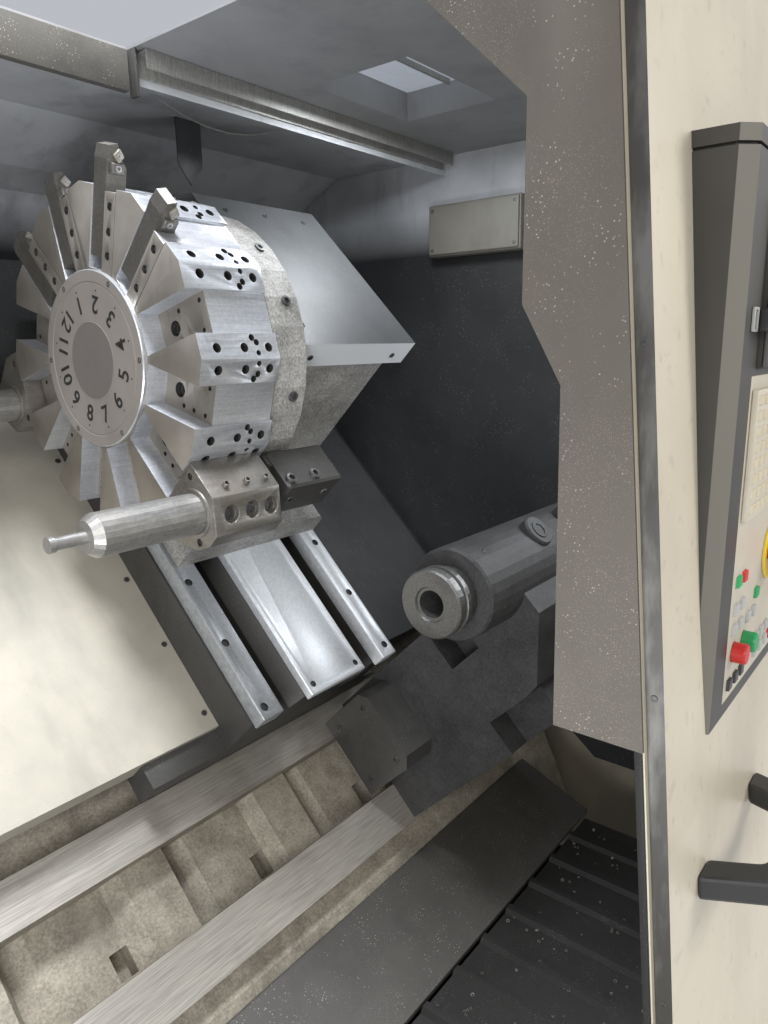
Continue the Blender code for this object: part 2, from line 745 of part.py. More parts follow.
def saddle(slant):
    """The carriage casting: wings under the way covers, seats for the cross ways, two channels and the screw slot."""
    seat = CROSS_WAY_OFF - CROSS_WAY_THICK - GAP
    centre = CROSS_WAY_OFF - CENTRE_PLATE_THICK - GAP
    foot = CARRIAGE_WAY_OFF + GAP
    slot = X_SCREW_R + 0.009
    right = CROSS_WAY_RIGHT[1] + 0.004
    outline = [(SADDLE_X[0], foot), (SADDLE_X[1], foot), (SADDLE_X[1], SADDLE_WING_OFF), (right, SADDLE_WING_OFF),
               (right, seat), (CROSS_WAY_RIGHT[0], seat), (CROSS_WAY_RIGHT[0], CHANNEL_OFF),
               (CENTRE_PLATE[1], CHANNEL_OFF), (CENTRE_PLATE[1], centre), (X_SCREW_X + slot, centre),
               (X_SCREW_X + slot, X_SCREW_OFF - slot), (X_SCREW_X - slot, X_SCREW_OFF - slot), (X_SCREW_X - slot, centre),
               (CENTRE_PLATE[0], centre), (CENTRE_PLATE[0] - 0.022, centre - 0.03), (CENTRE_PLATE[0] - 0.022, CHANNEL_OFF),
               (CROSS_WAY_LEFT[1], CHANNEL_OFF), (CROSS_WAY_LEFT[1], seat), (SADDLE_STEP_X, seat),
               (SADDLE_STEP_X, SADDLE_WING_OFF), (SADDLE_X[0], SADDLE_WING_OFF)]
    return prism("saddle", dark_steel(), outline, SADDLE_UP, FRONT, slant)


def cross_ways(slant):
    """Two hardened strips and the centre plate on the saddle."""
    made = []
    for name, span, thick in (("cross_way_left", CROSS_WAY_LEFT, CROSS_WAY_THICK),
                              ("cross_way_right", CROSS_WAY_RIGHT, CROSS_WAY_THICK),
                              ("cross_way_plate", CENTRE_PLATE, CENTRE_PLATE_THICK)):
        bar = box(name, ground_steel(), (span[0], CROSS_WAY_UP, CROSS_WAY_OFF - thick),
                  (span[1], SADDLE_UP[1] - 0.005, CROSS_WAY_OFF), slant)
        made.append(bevel(bar, 0.0015))
    return made


def way_cover(name, span, rank, slant):
    """One plate of a telescopic way cover, with its lip bent down at the low end; each rank slides inside the last."""
    drop = rank * (SHEET + SLIP)
    low = WAY_COVER_UP[0] + drop
    top = WAY_COVER_OFF - drop
    path = [(WAY_COVER_UP[1], top), (low, top), (low, top - WAY_COVER_LIP)]
    return prism(name, cream_paint(), strip(path, SHEET), span, ACROSS, slant)


def way_covers(slant):
    """Outer and middle plates of both way covers. The fixed plates are part of the inner walls."""
    left_end = SADDLE_STEP_X - SLIP
    right_end = SADDLE_X[1] + 0.010 + WAY_COVER_RIGHT_LONG
    left = way_cover("left_way_cover", (left_end - WAY_COVER_LEFT_LONG, left_end), 0, slant)
    left_mid = way_cover("left_way_cover_mid", (-0.19, 0.235), 1, slant)
    right = way_cover("right_way_cover", (CROSS_WAY_RIGHT[1] + 0.0045, right_end), 0, slant)
    right_mid = way_cover("right_way_cover_mid", (SADDLE_X[1] + GAP, right_end + 0.004), 1, slant)
    wing = ((SADDLE_X[0] - GAP, 0, -0.6), (SADDLE_X[1] + GAP, 1, SADDLE_WING_OFF + GAP))
    for plate in (left, right):
        cut(plate, box("wing", grey_paint(), *wing, slant))
    return [left, left_mid, right, right_mid]


def cross_slide(slant):
    """The slide that carries the turret up and down the saddle."""
    floor = CROSS_WAY_OFF + GAP
    left, right = TURRET_X + TURRET_THICK + SLIDE_CLEAR, CROSS_WAY_RIGHT[1]
    top = floor + SLIDE_THICK
    outline = [(left, floor), (right, floor), (right, top - SLIDE_NIP), (right - SLIDE_NIP, top),
               (left + SLIDE_NIP, top), (left, top - SLIDE_NIP)]
    slide = prism("cross_slide", cast_grey(), outline, SLIDE_UP, FRONT, slant)
    return slide


def turret_housing(slant):
    """The indexer's casting: a box on the slide with a round flange behind the disc."""
    floor = CROSS_WAY_OFF + SLIDE_THICK + 2 * GAP
    top = COVER_OFF - SHEET - SLIP
    low, high = HOUSING_UP
    outline = [(low, floor), (high, floor), (high, top - 0.07), (high - 0.06, top), (low, top)]
    housing = prism("turret_housing", cast_grey(), outline, HOUSING_X, ACROSS, slant)
    inner = TURRET_X + TURRET_THICK + GAP
    long = HOUSING_X[0] - inner
    profile = [(0, long + 0.01), (RING_R, long + 0.01), (RING_R, 0.012), (RING_R - 0.012, 0), (0, 0)]
    ring = turned("ring", cast_grey(), profile, 32, slant, (inner, TURRET_UP, 0))
    join(housing, ring)
    return housing


def housing_cover(slant):
    """The folded sheet over the housing, with a lip at its low end."""
    low, high = COVER_UP
    outline = [(low, COVER_OFF - COVER_LIP), (low, COVER_OFF), (high, COVER_OFF), (high + 0.07, COVER_OFF - 0.07),
               (high + 0.07, -0.10), (high + 0.03, -0.10), (high + 0.03, COVER_OFF - COVER_LIP)]
    return shell("housing_cover", grey_paint(), outline, COVER_X,
                 lambda way, at: way.x < -0.9 or (way.z < -0.9) or (way.y < -0.9 and at.y > low + 0.01), slant)


def coolant_block(slant):
    """The coolant feed to the active station, fixed to the housing's flange."""
    up = TURRET_UP - RING_R
    block = box("coolant_block", dark_steel(), (COOLANT_X[0], up - 0.085, -0.035), (COOLANT_X[1], up - 0.010, 0.040), slant)
    foot = box("coolant_foot", dark_steel(), (COOLANT_X[0], up - 0.03, -0.035), (HOUSING_X[0] - 0.01, up - GAP, 0.03), slant)
    join(block, foot)
    return bevel(block, 0.004)


def station_turn(index):
    """Angle of a station about the turret's axis, in the slant frame, from the uphill side."""
    return tau * index / STATIONS


def turret_outline():
    """A twelve-sided rim with a shallow key land in the middle of each flat."""
    points = []
    apothem = TURRET_R * cos(pi / STATIONS)
    half = SLOT_WIDE / 2
    for i in range(STATIONS):
        turn = station_turn(i)
        corner = turn - pi / STATIONS
        points.append((TURRET_R * cos(corner), TURRET_R * sin(corner)))
        for radius, side in ((apothem, -half), (apothem - KEY_SINK, -half), (apothem - KEY_SINK, half), (apothem, half)):
            points.append((radius * cos(turn) - side * sin(turn), radius * sin(turn) + side * cos(turn)))
    return points


def turret_disc(axis):
    """The tool disc: open pockets in its face, and in those that hold a tool a clamp wedge left standing."""
    hub = arc((0, 0), clear_radius(HUB_R * 0.5, 24), 0, 345, 23)
    disc = prism("turret_disc", ground_steel(), [turret_outline(), hub], (0, TURRET_THICK), ACROSS, axis)
    slots = []
    long = TURRET_R + 0.02 - SLOT_INNER_R
    for i in range(STATIONS):
        holds_tool = 360 * i // STATIONS in TOOL_STATIONS
        wide = SLOT_WIDE - WEDGE_WIDE if holds_tool else SLOT_WIDE
        turn = Matrix.Rotation(station_turn(i), 4, "X")
        at = turn @ Matrix.Translation((SLOT_DEEP / 2 - 0.01, SLOT_INNER_R + long / 2, (wide - SLOT_WIDE) / 2))
        slots.append(((SLOT_DEEP + 0.02, long, wide), at))
    cut(disc, blocks("tool_slots", slots, axis))
    return disc


def number_plate(axis):
    """The round cover on the disc, with a plug that centres it in the disc's bore."""
    plug = HUB_R * 0.5
    profile = [(0, 0.03), (plug, 0.03), (plug, -GAP), (PLATE_R, -GAP), (PLATE_R, -PLATE_THICK + 0.0015),
               (PLATE_R - 0.0015, -PLATE_THICK), (PLATE_R * 0.9, -PLATE_THICK), (PLATE_R * 0.885, -PLATE_THICK - 0.001),
               (0, -PLATE_THICK - 0.001)]
    return turned("number_plate", grey_paint(), profile, 48, axis)


def turning_tool(axis, index, degrees):
    """A square shank with a tapered head, seated on its slot's floor."""
    tip = TOOL_TIP_R - (0.0, 0.004, -0.012, 0.006)[index]
    heel = 0.155
    face = SLOT_DEEP - GAP - SHANK
    outline = [(face, heel), (face + SHANK, heel), (face + SHANK, tip - 0.030), (face + SHANK * 0.62, tip - 0.016),
               (face + SHANK * 0.5, tip), (face + 0.002, tip - 0.004), (face - 0.001, tip - 0.022), (face, tip - 0.040)]
    start = (SLOT_WIDE - WEDGE_WIDE - SHANK) / 2 - SLOT_WIDE / 2
    span = (start, start + SHANK)
    obj = prism(f"turning_tool_{index + 1}", dark_steel(), outline, span, PLAN, axis)
    obj.rotation_euler = (radians(degrees), 0, 0)
    turn = Matrix.Rotation(radians(degrees), 3, "X")
    obj.location = turn @ Vector((0, 0, (span[0] + span[1]) / 2))
    bpy.context.view_layer.update()
    return obj


def boring_block(axis, index, degrees):
    """A block bolted on a flat of the disc, with a collared bore along X and three lock holes in its chamfer."""
    seat = TURRET_R * cos(pi / STATIONS) + GAP
    low, high = (0.322, -0.050), (0.364, -0.012)
    outline = [(seat, -0.050), (seat, 0.083), (0.295, 0.083), (0.350, 0.040), (0.364, 0.012), high, low]
    span = (BLOCK_X[0] - TURRET_X, BLOCK_X[1] - TURRET_X)
    block = prism(f"boring_block_{index}", ground_steel(), outline, span, ACROSS, axis)
    turn = Matrix.Rotation(radians(degrees), 3, "X")
    block.rotation_euler = (turn @ Matrix(((0, 0, 1), (1, 0, 0), (0, 1, 0)))).to_euler()
    centre = turn @ Vector((0, BAR_STATION_R, 0))
    bore_r = clear_radius(BAR_R, 24)
    collar = turned("collar", ground_steel(), [(0, span[0] + 0.01), (COLLAR_R, span[0] + 0.01), (COLLAR_R, span[0] - COLLAR_PROUD),
                                               (0, span[0] - COLLAR_PROUD)], 24, axis, centre)
    bore = turned("bore", ground_steel(), [(0, 0.3), (bore_r, 0.3), (bore_r, -0.1), (0, -0.1)], 24, axis, centre)
    out = Vector((0, high[1] - low[1], low[0] - high[0])).normalized()
    holes = []
    for x in LOCK_HOLES:
        at = turn @ Vector((span[0] + x, (low[0] + high[0]) / 2, (low[1] + high[1]) / 2))
        lay = (turn @ out).to_track_quat("Z", "Y").to_euler()
        profile = [(0, 0.01), (LOCK_HOLE_R, 0.01), (LOCK_HOLE_R, -LOCK_HOLE_DEEP), (0, -LOCK_HOLE_DEEP)]
        holes.append(turned("lock_hole", ground_steel(), profile, 20, axis, at, lay))
    cut(block, *holes)
    join(block, collar)
    cut(block, bore)
    return block


def boring_bar(axis, index, degrees):
    """A round bar with a flat up to its head. The first has a slim neck that ends in a round insert."""
    turn = Matrix.Rotation(radians(degrees), 3, "X")
    centre = turn @ Vector((0, BAR_STATION_R, 0))
    tail = BLOCK_X[1] - TURRET_X - 0.004
    end = -BAR_REACH
    profile = [(0, tail), (BAR_R, tail), (BAR_R, end + 0.012), (BAR_R - 0.008, end)]
    if index == 1:
        tip = end - NECK_LONG
        profile += [(NECK_R, end), (NECK_R, tip), (TIP_R, tip), (TIP_R, tip - 0.008), (0, tip - 0.008)]
    else:
        profile.append((0, end))
    bar = turned(f"boring_bar_{index}", ground_steel(), profile, 24, axis, centre)
    flat = box("flat", ground_steel(), (end + BAR_HEAD, 0.0255, -0.05), (-0.012, 0.06, 0.05), axis)
    cut(bar, turned_about(flat, centre, Matrix.Rotation(radians(degrees + 100), 4, "X")))
    return bar


def turned_about(obj, centre, turn):
    """Moves an object into a frame at a centre, turned by a rotation."""
    obj.matrix_local = Matrix.Translation(centre) @ turn @ Matrix.Translation(obj.location)
    bpy.context.view_layer.update()
    return obj


def tailstock(slant):
    """Base on the tailstock ways, body with its round nose and clamp pockets, and the box cover."""
    low, high = TAIL_UP
    base = box("tailstock_base", cast_grey(), (TAIL_X[0], low, TAIL_WAY_OFF + GAP), (TAIL_X[1], high, TAIL_JOINT_OFF), slant)
    foot = TAIL_JOINT_OFF + GAP
    outline = [(high, foot), (high, 0.052), (-0.11, 0.052), (-0.21, -0.048), (-0.215, -0.085), (low, -0.085), (low, foot)]
    body = prism("tailstock_body", cast_grey(), outline, TAIL_X, ACROSS, slant)
    nose_long = TAIL_X[1] - TAIL_NOSE_X
    profile = [(0, nose_long), (TAIL_NOSE_R, nose_long), (TAIL_NOSE_R, 0.004), (TAIL_NOSE_R - 0.004, 0), (0, 0)]
    nose = turned("nose", cast_grey(), profile, 32, slant, (TAIL_NOSE_X, 0, 0))
    caps = [turned("cap", cast_grey(), [(0, 0.010), (0.030, 0.010), (0.033, 0.006), (0.033, -0.03), (0, -0.03)], 20, slant,
                   (x, 0.02, 0.082), (0, 0, 0)) for x in (1.26, 1.40)]
    pockets = [box("pocket", cast_grey(), (TAIL_X[0] - 0.02, a, TAIL_FOOT_OFF), (TAIL_X[0] + 0.06, b, c), slant)
               for a, b, c in ((-0.092, -0.012, -0.105), (low - 0.02, -0.215, 0.0))]
    bore_r = clear_radius(QUILL_R, 32)
    bore = turned("bore", cast_grey(), [(0, nose_long - 0.06), (bore_r, nose_long - 0.06), (bore_r, -0.1), (0, -0.1)],
                  32, slant, (TAIL_NOSE_X, 0, 0))
    join(body, nose, *caps)
    cut(body, *pockets, bore)
    outline = [(-0.195, TAIL_WAY_OFF + 0.02), (-0.020, TAIL_WAY_OFF + 0.02), (-0.020, -0.365), (-0.040, -0.345),
               (-0.175, -0.345), (-0.195, -0.365)]
    cover = prism("tailstock_box_cover", dark_steel(), outline, (TAIL_X[0] - 0.085, TAIL_X[0] - GAP), ACROSS, slant)
    return [base, body, cover, quill(slant)]


def quill(slant):
    """The hollow quill with its grooved collar."""
    step = TAIL_NOSE_X - QUILL_FACE_X
    tail = TAIL_X[1] - 0.07 - QUILL_FACE_X
    profile = [(QUILL_BORE_R - 0.004, tail), (QUILL_R, tail), (QUILL_R, 0.040), (QUILL_COLLAR_R, 0.036),
               (QUILL_COLLAR_R, 0.026), (QUILL_R + 0.001, 0.024), (QUILL_R + 0.001, 0.019), (QUILL_COLLAR_R, 0.017),
               (QUILL_COLLAR_R, 0.003), (QUILL_COLLAR_R - 0.003, 0), (QUILL_BORE_R + 0.007, 0), (QUILL_BORE_R + 0.005, 0.004),
               (QUILL_BORE_R, 0.004), (QUILL_BORE_R - 0.004, step + 0.1)]
    profile.append(profile[0])
    return turned("quill", ground_steel(), profile, 32, slant, (QUILL_FACE_X, 0, 0))


def left_cover():
    """The sheet housing over the headstock: end, front, top, open to the back and below."""
    high = ROOF_TOP
    outline = [(skin_y(DOOR_BOTTOM), TANK_Z), (skin_y(DOOR_BOTTOM), DOOR_BOTTOM), (skin_y(high), high),
               (REAR_Y - SHEET - GAP, high), (REAR_Y - SHEET - GAP, TANK_Z)]
    return shell("left_cover", cream_paint(), outline, (-LENGTH / 2, OPENING_LEFT - 0.03),
                 lambda way, at: way.x > 0.9 or way.y > 0.9 or way.z < -0.9)


def right_cover():
    """The fixed front behind the open door, and the right end, which runs down behind the apron's flange."""
    back = DOOR_THICK + GAP
    high = ROOF_TOP - ROOF_THICK - GAP
    rear = REAR_Y - SHEET - GAP
    flange = skin_y(DOOR_BOTTOM) + APRON_FLANGE + GAP
    ledge = DOOR_BOTTOM + GAP
    outline = [(flange, TANK_Z), (flange, ledge), (skin_y(DOOR_BOTTOM) + back, ledge), (skin_y(high) + back, high),
               (rear, high), (rear, TANK_Z)]
    return shell("right_cover", cream_paint(), outline, (JAMB_X + SHEET + SLIP, LENGTH / 2),
                 lambda way, at: way.x < -0.9 or abs(way.z) > 0.95 or way.y > 0.9 or at.z < DOOR_BOTTOM and way.y < -0.9)


def roof_panel():
    """The roof round the loading opening, with the raised lamp box."""
    front = skin_y(ROOF_TOP)
    left = OPENING_LEFT - 0.03 + GAP
    rear = REAR_Y - SHEET - GAP
    outline = [(ROOF_OPEN_RIGHT, front), (LENGTH / 2, front), (LENGTH / 2, rear), (left, rear),
               (left, ROOF_OPEN_REAR), (ROOF_OPEN_RIGHT, ROOF_OPEN_REAR)]
    roof = prism("roof_panel", grey_paint(), outline, (ROOF_TOP - ROOF_THICK, ROOF_TOP), PLAN)
    top = ROOF_TOP + LAMP_HIGH
    edge = 0.02
    lamp = box("lamp_box", grey_paint(), (LAMP_X[0] - edge, LAMP_Y[0] - edge, ROOF_TOP - ROOF_THICK / 2),
               (LAMP_X[1] + edge, LAMP_Y[1] + edge, top))
    hollow = box("lamp_hollow", grey_paint(), (LAMP_X[0], LAMP_Y[0], ROOF_TOP - 0.1), (LAMP_X[1], LAMP_Y[1], top - 0.004))
    join(roof, lamp)
    cut(roof, hollow)
    return roof


def rear_cover():
    """The back sheet with its side flanges."""
    rear = REAR_Y
    half = LENGTH / 2
    outline = strip([(-half, rear - 0.08), (-half, rear), (half, rear), (half, rear - 0.08)], -SHEET)
    inner = half - SHEET - GAP
    outline = strip([(inner, rear - 0.08), (inner, rear), (-inner, rear), (-inner, rear - 0.08)], SHEET)
    return prism("rear_cover", cream_paint(), outline, (TANK_Z, ROOF_TOP - ROOF_THICK - GAP), PLAN)


def rear_guard():
    """The folded splash sheet behind the turret, from the roof beam down to the way covers."""
    top = ROOF_TOP - ROOF_THICK - GAP
    beam = ROOF_OPEN_REAR
    path = [(beam, top - 0.045), (beam, top), (0.35, top), (0.50, top - 0.075), (0.62, top - 0.10),
            (GUARD_Y, top - 0.24), (GUARD_Y, GUARD_FOOT_Z)]
    return prism("rear_guard", grey_paint(), strip(path, -SHEET), (WALL_LEFT + GAP, WALL_RIGHT - GAP), ACROSS)


def wall_outline():
    """The inner wall's edge in y and z, following the bed's slope along its foot."""
    top = ROOF_TOP - ROOF_THICK - GAP
    toe = bed_yz(WAY_COVER_UP[0], WAY_COVER_OFF - 0.012)
    head = bed_yz(WAY_COVER_UP[1], WAY_COVER_OFF - 0.012)
    front = DOOR_THICK + 0.006
    return [(skin_y(DOOR_BOTTOM) + front, DOOR_BOTTOM + 0.01), (-0.46, DOOR_BOTTOM + 0.01), toe, head,
            (GUARD_Y, head[1]), (GUARD_Y, top), (skin_y(top) + front, top)]


def left_wall(slant):
    """The wall between the headstock and the working space, with its fixed way-cover plate."""
    hole = arc((SPINDLE_Y, SPINDLE_Z), CHUCK_R + 0.02, 0, 345, 23)
    wall = prism("left_wall", grey_paint(), [wall_outline(), hole], (WALL_LEFT - SHEET, WALL_LEFT), ACROSS)
    plate = way_cover("fixed", (WALL_LEFT - 0.001, -0.15), 2, slant)
    join(wall, plate)
    return wall


def right_wall(slant):
    wall = prism("right_wall", grey_paint(), wall_outline(), (WALL_RIGHT, WALL_RIGHT + SHEET), ACROSS)
    plate = way_cover("fixed", (SADDLE_X[1] + 0.02, WALL_RIGHT + 0.001), 2, slant)
    join(wall, plate)
    return wall


def jamb_plate():
    """The inner shield plate beside the opening, wider under the roof."""
    top = ROOF_TOP - ROOF_THICK - GAP
    front = DOOR_THICK + SLIP
    foot = ROOF_TOP - JAMB_FOOT_DROP
    neck = [ROOF_TOP - drop for drop in JAMB_NECK_DROP]
    head = [ROOF_TOP - drop for drop in JAMB_HEAD_DROP]
    outline = [(skin_y(foot) + front, foot), (JAMB_EDGE_Y[0], foot), (JAMB_EDGE_Y[1], neck[0]), (JAMB_NECK_Y, neck[1]),
               (JAMB_NECK_Y, head[0]), (JAMB_HEAD_Y, head[1]), (JAMB_HEAD_Y, top), (skin_y(top) + front, top)]
    return prism("jamb_plate", grey_paint(), outline, (JAMB_X, JAMB_X + SHEET), ACROSS)


def front_apron():
    """The front base panel, which carries the door's lower rail."""
    y = skin_y(DOOR_BOTTOM)
    top = DOOR_BOTTOM - SLIP
    path = [(y, TANK_Z), (y, top), (y + APRON_FLANGE, top), (y + APRON_FLANGE, top - 0.06)]
    return prism("front_apron", cream_paint(), strip(path, -SHEET), (OPENING_LEFT - 0.03 + GAP, LENGTH / 2), ACROSS)


def door_header():
    """The rail across the top of the opening that the door hangs from, deeper where nothing is behind it."""
    top = ROOF_TOP - ROOF_THICK - GAP
    foot = DOOR_TOP + SLIP
    left = OPENING_LEFT - 0.03 + GAP
    back = DOOR_THICK - 0.002
    strap = [(skin_y(foot), foot), (skin_y(top), top), (skin_y(top) + back, top), (skin_y(foot) + back, foot)]
    rail = prism("door_header", cream_paint(), strap, (left, LENGTH / 2 - SHEET - SLIP), ACROSS)
    beam = box("beam", cream_paint(), (left, skin_y(foot) + back / 2, foot + 0.006), (JAMB_X - GAP, skin_y(foot) + HEADER_DEEP, top))
    return join(rail, beam)


def coolant_tank():
    """The tank in front of the bed, with the conveyor's ledge and the chute that leads chips down from the bed."""
    front = skin_y(DOOR_BOTTOM) + SHEET + GAP
    back = BED_FRONT_Y - GAP
    rim = CONVEYOR_Z - CONVEYOR_THICK - GAP
    path = [(front, rim), (front, 0), (back, 0), (back, BED_KNEE_Z)]
    tank = prism("coolant_tank", grey_paint(), strip(path, SHEET), CONVEYOR_X, ACROSS)
    toe_y, toe_z = bed_yz(BED_TOE_UP, BED_FACE)
    lip = CONVEYOR_Y[1] + 0.004
    chute = [(back - 0.006, BED_KNEE_Z - 0.03), (back - 0.001, BED_KNEE_Z - 0.03), (back - 0.001, BED_KNEE_Z + 0.005),
             (toe_y - 0.012, toe_z - 0.015), (toe_y - 0.016, toe_z - 0.014), (lip, CONVEYOR_Z + 0.012),
             (lip, CONVEYOR_Z + 0.004), (back - 0.006, CONVEYOR_Z - 0.02)]
    ledge = box("ledge", grey_paint(), (CONVEYOR_X[0], front + 0.001, rim - SHEET), (CONVEYOR_X[1], CONVEYOR_Y[0] + 0.03, rim))
    ends = [box("end", grey_paint(), (x, front + 0.001, 0.001), (x + SHEET, back - 0.001, BED_KNEE_Z))
            for x in (CONVEYOR_X[0], CONVEYOR_X[1] - SHEET)]
    return join(tank, prism("chute", grey_paint(), chute, CONVEYOR_X, ACROSS), ledge, *ends)


def conveyor_belt():
    """The hinged steel belt: a flat run with a raised cleat on each hinge."""
    low = CONVEYOR_Z - CONVEYOR_THICK
    count = int((CONVEYOR_X[1] - CONVEYOR_X[0]) / SLAT_PITCH)
    start = CONVEYOR_X[0] + 0.01
    points = [(start, low)]
    for i in range(count):
        x = start + i * SLAT_PITCH
        points += [(x, CONVEYOR_Z), (x + 0.02, CONVEYOR_Z), (x + 0.026, CONVEYOR_Z + SLAT_HIGH), (x + 0.040, CONVEYOR_Z + SLAT_HIGH),
                   (x + 0.046, CONVEYOR_Z)]
    points += [(CONVEYOR_X[1] - 0.02, CONVEYOR_Z), (CONVEYOR_X[1] - 0.02, low)]
    return prism("conveyor_belt", dark_steel(), points, CONVEYOR_Y, FRONT)


def door():
    """The sliding door: panel with its window opening, window, handle and the control box with its controls."""
    left, right = DOOR_LEFT, DOOR_LEFT + DOOR_WIDTH
    outline = [(skin_y(DOOR_BOTTOM), DOOR_BOTTOM), (skin_y(DOOR_TOP), DOOR_TOP),
               (skin_y(DOOR_TOP) + DOOR_THICK, DOOR_TOP), (skin_y(DOOR_BOTTOM) + DOOR_THICK, DOOR_BOTTOM)]
    panel = prism("door_panel", cream_paint(), outline, (left, right), ACROSS)
    window_x = (BOX_X[1] + 0.08, right - 0.12)
    window_z = [DOOR_TOP - drop for drop in WINDOW_DROP]
    hole = box("window_hole", cream_paint(), (window_x[0], -1.2, window_z[0]), (window_x[1], -0.7, window_z[1]))
    cut(panel, hole)
    inset = SLIP
    pane = [(skin_y(window_z[0]) + 0.004, window_z[0] + inset), (skin_y(window_z[1]) + 0.004, window_z[1] - inset),
            (skin_y(window_z[1]) + 0.012, window_z[1] - inset), (skin_y(window_z[0]) + 0.012, window_z[0] + inset)]
    window = prism("door_window", material("glass", (0.5, 0.55, 0.55), 0.1, 0.0), pane,
                   (window_x[0] + inset, window_x[1] - inset), ACROSS)
    return [panel, window, handle(), *controls()]


def rounded(points, radius, steps):
    """An open path with each of its inner corners made an arc."""
    path = [Vector(p) for p in points]
    made = [tuple(path[0])]
    for before, corner, after in zip(path, path[1:], path[2:]):
        back = (before - corner).normalized()
        on = (after - corner).normalized()
        half = back.angle(on) / 2
        centre = corner + (back + on).normalized() * radius / sin(half)
        start = corner + back * radius / tan(half) - centre
        end = corner + on * radius / tan(half) - centre
        first = atan2(start.y, start.x)
        sweep = (atan2(end.y, end.x) - first + pi) % tau - pi
        made += [(centre.x + radius * cos(first + sweep * i / steps), centre.y + radius * sin(first + sweep * i / steps))
                 for i in range(steps + 1)]
    return made + [tuple(path[-1])]


def handle():
    """A black bridge handle square to the leaning skin: two splayed legs and a grip along X."""
    low, high = HANDLE_X
    inner = HANDLE_OUT - HANDLE_GRIP
    splay = HANDLE_SPLAY * inner / HANDLE_OUT
    outer_path = [(low, 0), (low + HANDLE_SPLAY, -HANDLE_OUT), (high - HANDLE_SPLAY, -HANDLE_OUT), (high, 0)]
    low, high = low + HANDLE_LEG, high - HANDLE_LEG
    inner_path = [(low, 0), (low + splay, -inner), (high - splay, -inner), (high, 0)]
    outline = rounded(outer_path, HANDLE_ROUND, 5) + rounded(inner_path, HANDLE_ROUND * 0.6, 4)[::-1]
    obj = prism("door_handle", black_plastic(), outline, (-HANDLE_TALL / 2, HANDLE_TALL / 2), PLAN)
    obj.rotation_euler = (-LEAN, 0, 0)
    obj.location = (0, skin_y(HANDLE_Z) - GAP / cos(LEAN), HANDLE_Z)
    bpy.context.view_layer.update()
    return bevel(obj, 0.004, 2, 60)


def box_face_y():
    return skin_y(BOX_Z[0]) - BOX_TOE


def box_plan(inset):
    """The control box seen from above, its front corners cut off."""
    left, right = BOX_X[0] + inset, BOX_X[1] - inset
    front = box_face_y() + inset
    back = skin_y(BOX_Z[1]) + 0.02
    return [(left, back), (left, front + BOX_NIP), (left + BOX_NIP, front), (right - BOX_NIP, front),
            (right, front + BOX_NIP), (right, back)]


def controls():
    """The upright control box on the leaning door, with key fields, emergency stop, two buttons and a dial."""
    low, high = BOX_Z
    face = box_face_y()
    seam = high - BOX_CAP - BOX_SEAM
    body = prism("control_box", grey_paint(), box_plan(0), (low, seam), PLAN)
    neck = prism("neck", grey_paint(), box_plan(0.004), (seam - 0.001, high - BOX_CAP + 0.001), PLAN)
    cap = prism("cap", grey_paint(), box_plan(0), (high - BOX_CAP, high), PLAN)
    fields = [box("keys", black_plastic(), (x0, face - KEY_RELIEF, z0), (x1, face + 0.004, z1))
              for x0, x1, z0, z1 in key_fields()]
    join(body, neck, cap, *fields)
    behind = [(skin_y(low - 0.05) - GAP, low - 0.05), (skin_y(high + 0.05) - GAP, high + 0.05), (-0.7, high + 0.05),
              (-0.7, low - 0.05)]
    cut(body, prism("behind", grey_paint(), behind, (BOX_X[0] - 0.05, BOX_X[1] + 0.05), ACROSS))
    cut(body, button_well((ESTOP_X, ESTOP_Z), ESTOP_STEM_R, ESTOP_PRESS))
    cut(body, *[button_well((x, BUTTON_Z), BUTTON_R, BUTTON_PRESS) for x in BUTTON_X])
    stop = push_button("e_stop", (ESTOP_X, ESTOP_Z), ((0.0, 0.036), (0.020, 0.034), (0.022, 0.028), (0.020, 0.016),
                                                     (ESTOP_STEM_R, 0.010), (ESTOP_STEM_R, 0.0), (0.0, 0.0)), (0.75, 0.08, 0.06))
    small = ((0.0, 0.014), (BUTTON_R - 0.001, 0.014), (BUTTON_R, 0.012), (BUTTON_R, 0.0), (0.0, 0.0))
    red = push_button("stop_button", (BUTTON_X[0], BUTTON_Z), small, (0.70, 0.07, 0.06))
    green = push_button("start_button", (BUTTON_X[1], BUTTON_Z), small, (0.05, 0.45, 0.18))
    dial = push_button("feed_dial", (DIAL_X, BUTTON_Z + 0.02),
                       ((0.0, 0.022), (0.017, 0.022), (0.019, 0.018), (0.024, 0.006), (0.024, 0.0), (0.0, 0.0)), (0.75, 0.75, 0.72))
    return [body, stop, red, green, dial]


def button_well(where, radius, travel):
    """The hole a button sinks into, a little deeper than its travel."""
    x, z = where
    wide = clear_radius(radius, 20)
    profile = [(0, 0.02), (wide, 0.02), (wide, -travel - 0.001), (0, -travel - 0.001)]
    return turned("well", grey_paint(), profile, 20, None, (x, box_face_y(), z), (radians(90), 0, 0))


def key_fields():
    """The raised screen surround and the key rows under it: left, right, low and high of each."""
    left, right = BOX_X[0] + PANEL_EDGE[0], BOX_X[1] - PANEL_EDGE[1]
    top = BOX_Z[1]
    rows = [(left, right, top - SCREEN_DROP[1], top - SCREEN_DROP[0])]
    for i in range(KEY_ROWS):
        high = top - KEY_DROP - i * KEY_PITCH
        rows.append((left, right, high - KEY_HIGH, high))
    return rows


def push_button(name, where, profile, colour):
    """A turned cap that stands on the control box's face and points at the operator."""
    look = material(name, colour, 0.35, 0.0)
    x, z = where
    return turned(name, look, list(profile), 20, None, (x, box_face_y() - GAP, z), (radians(90), 0, 0))


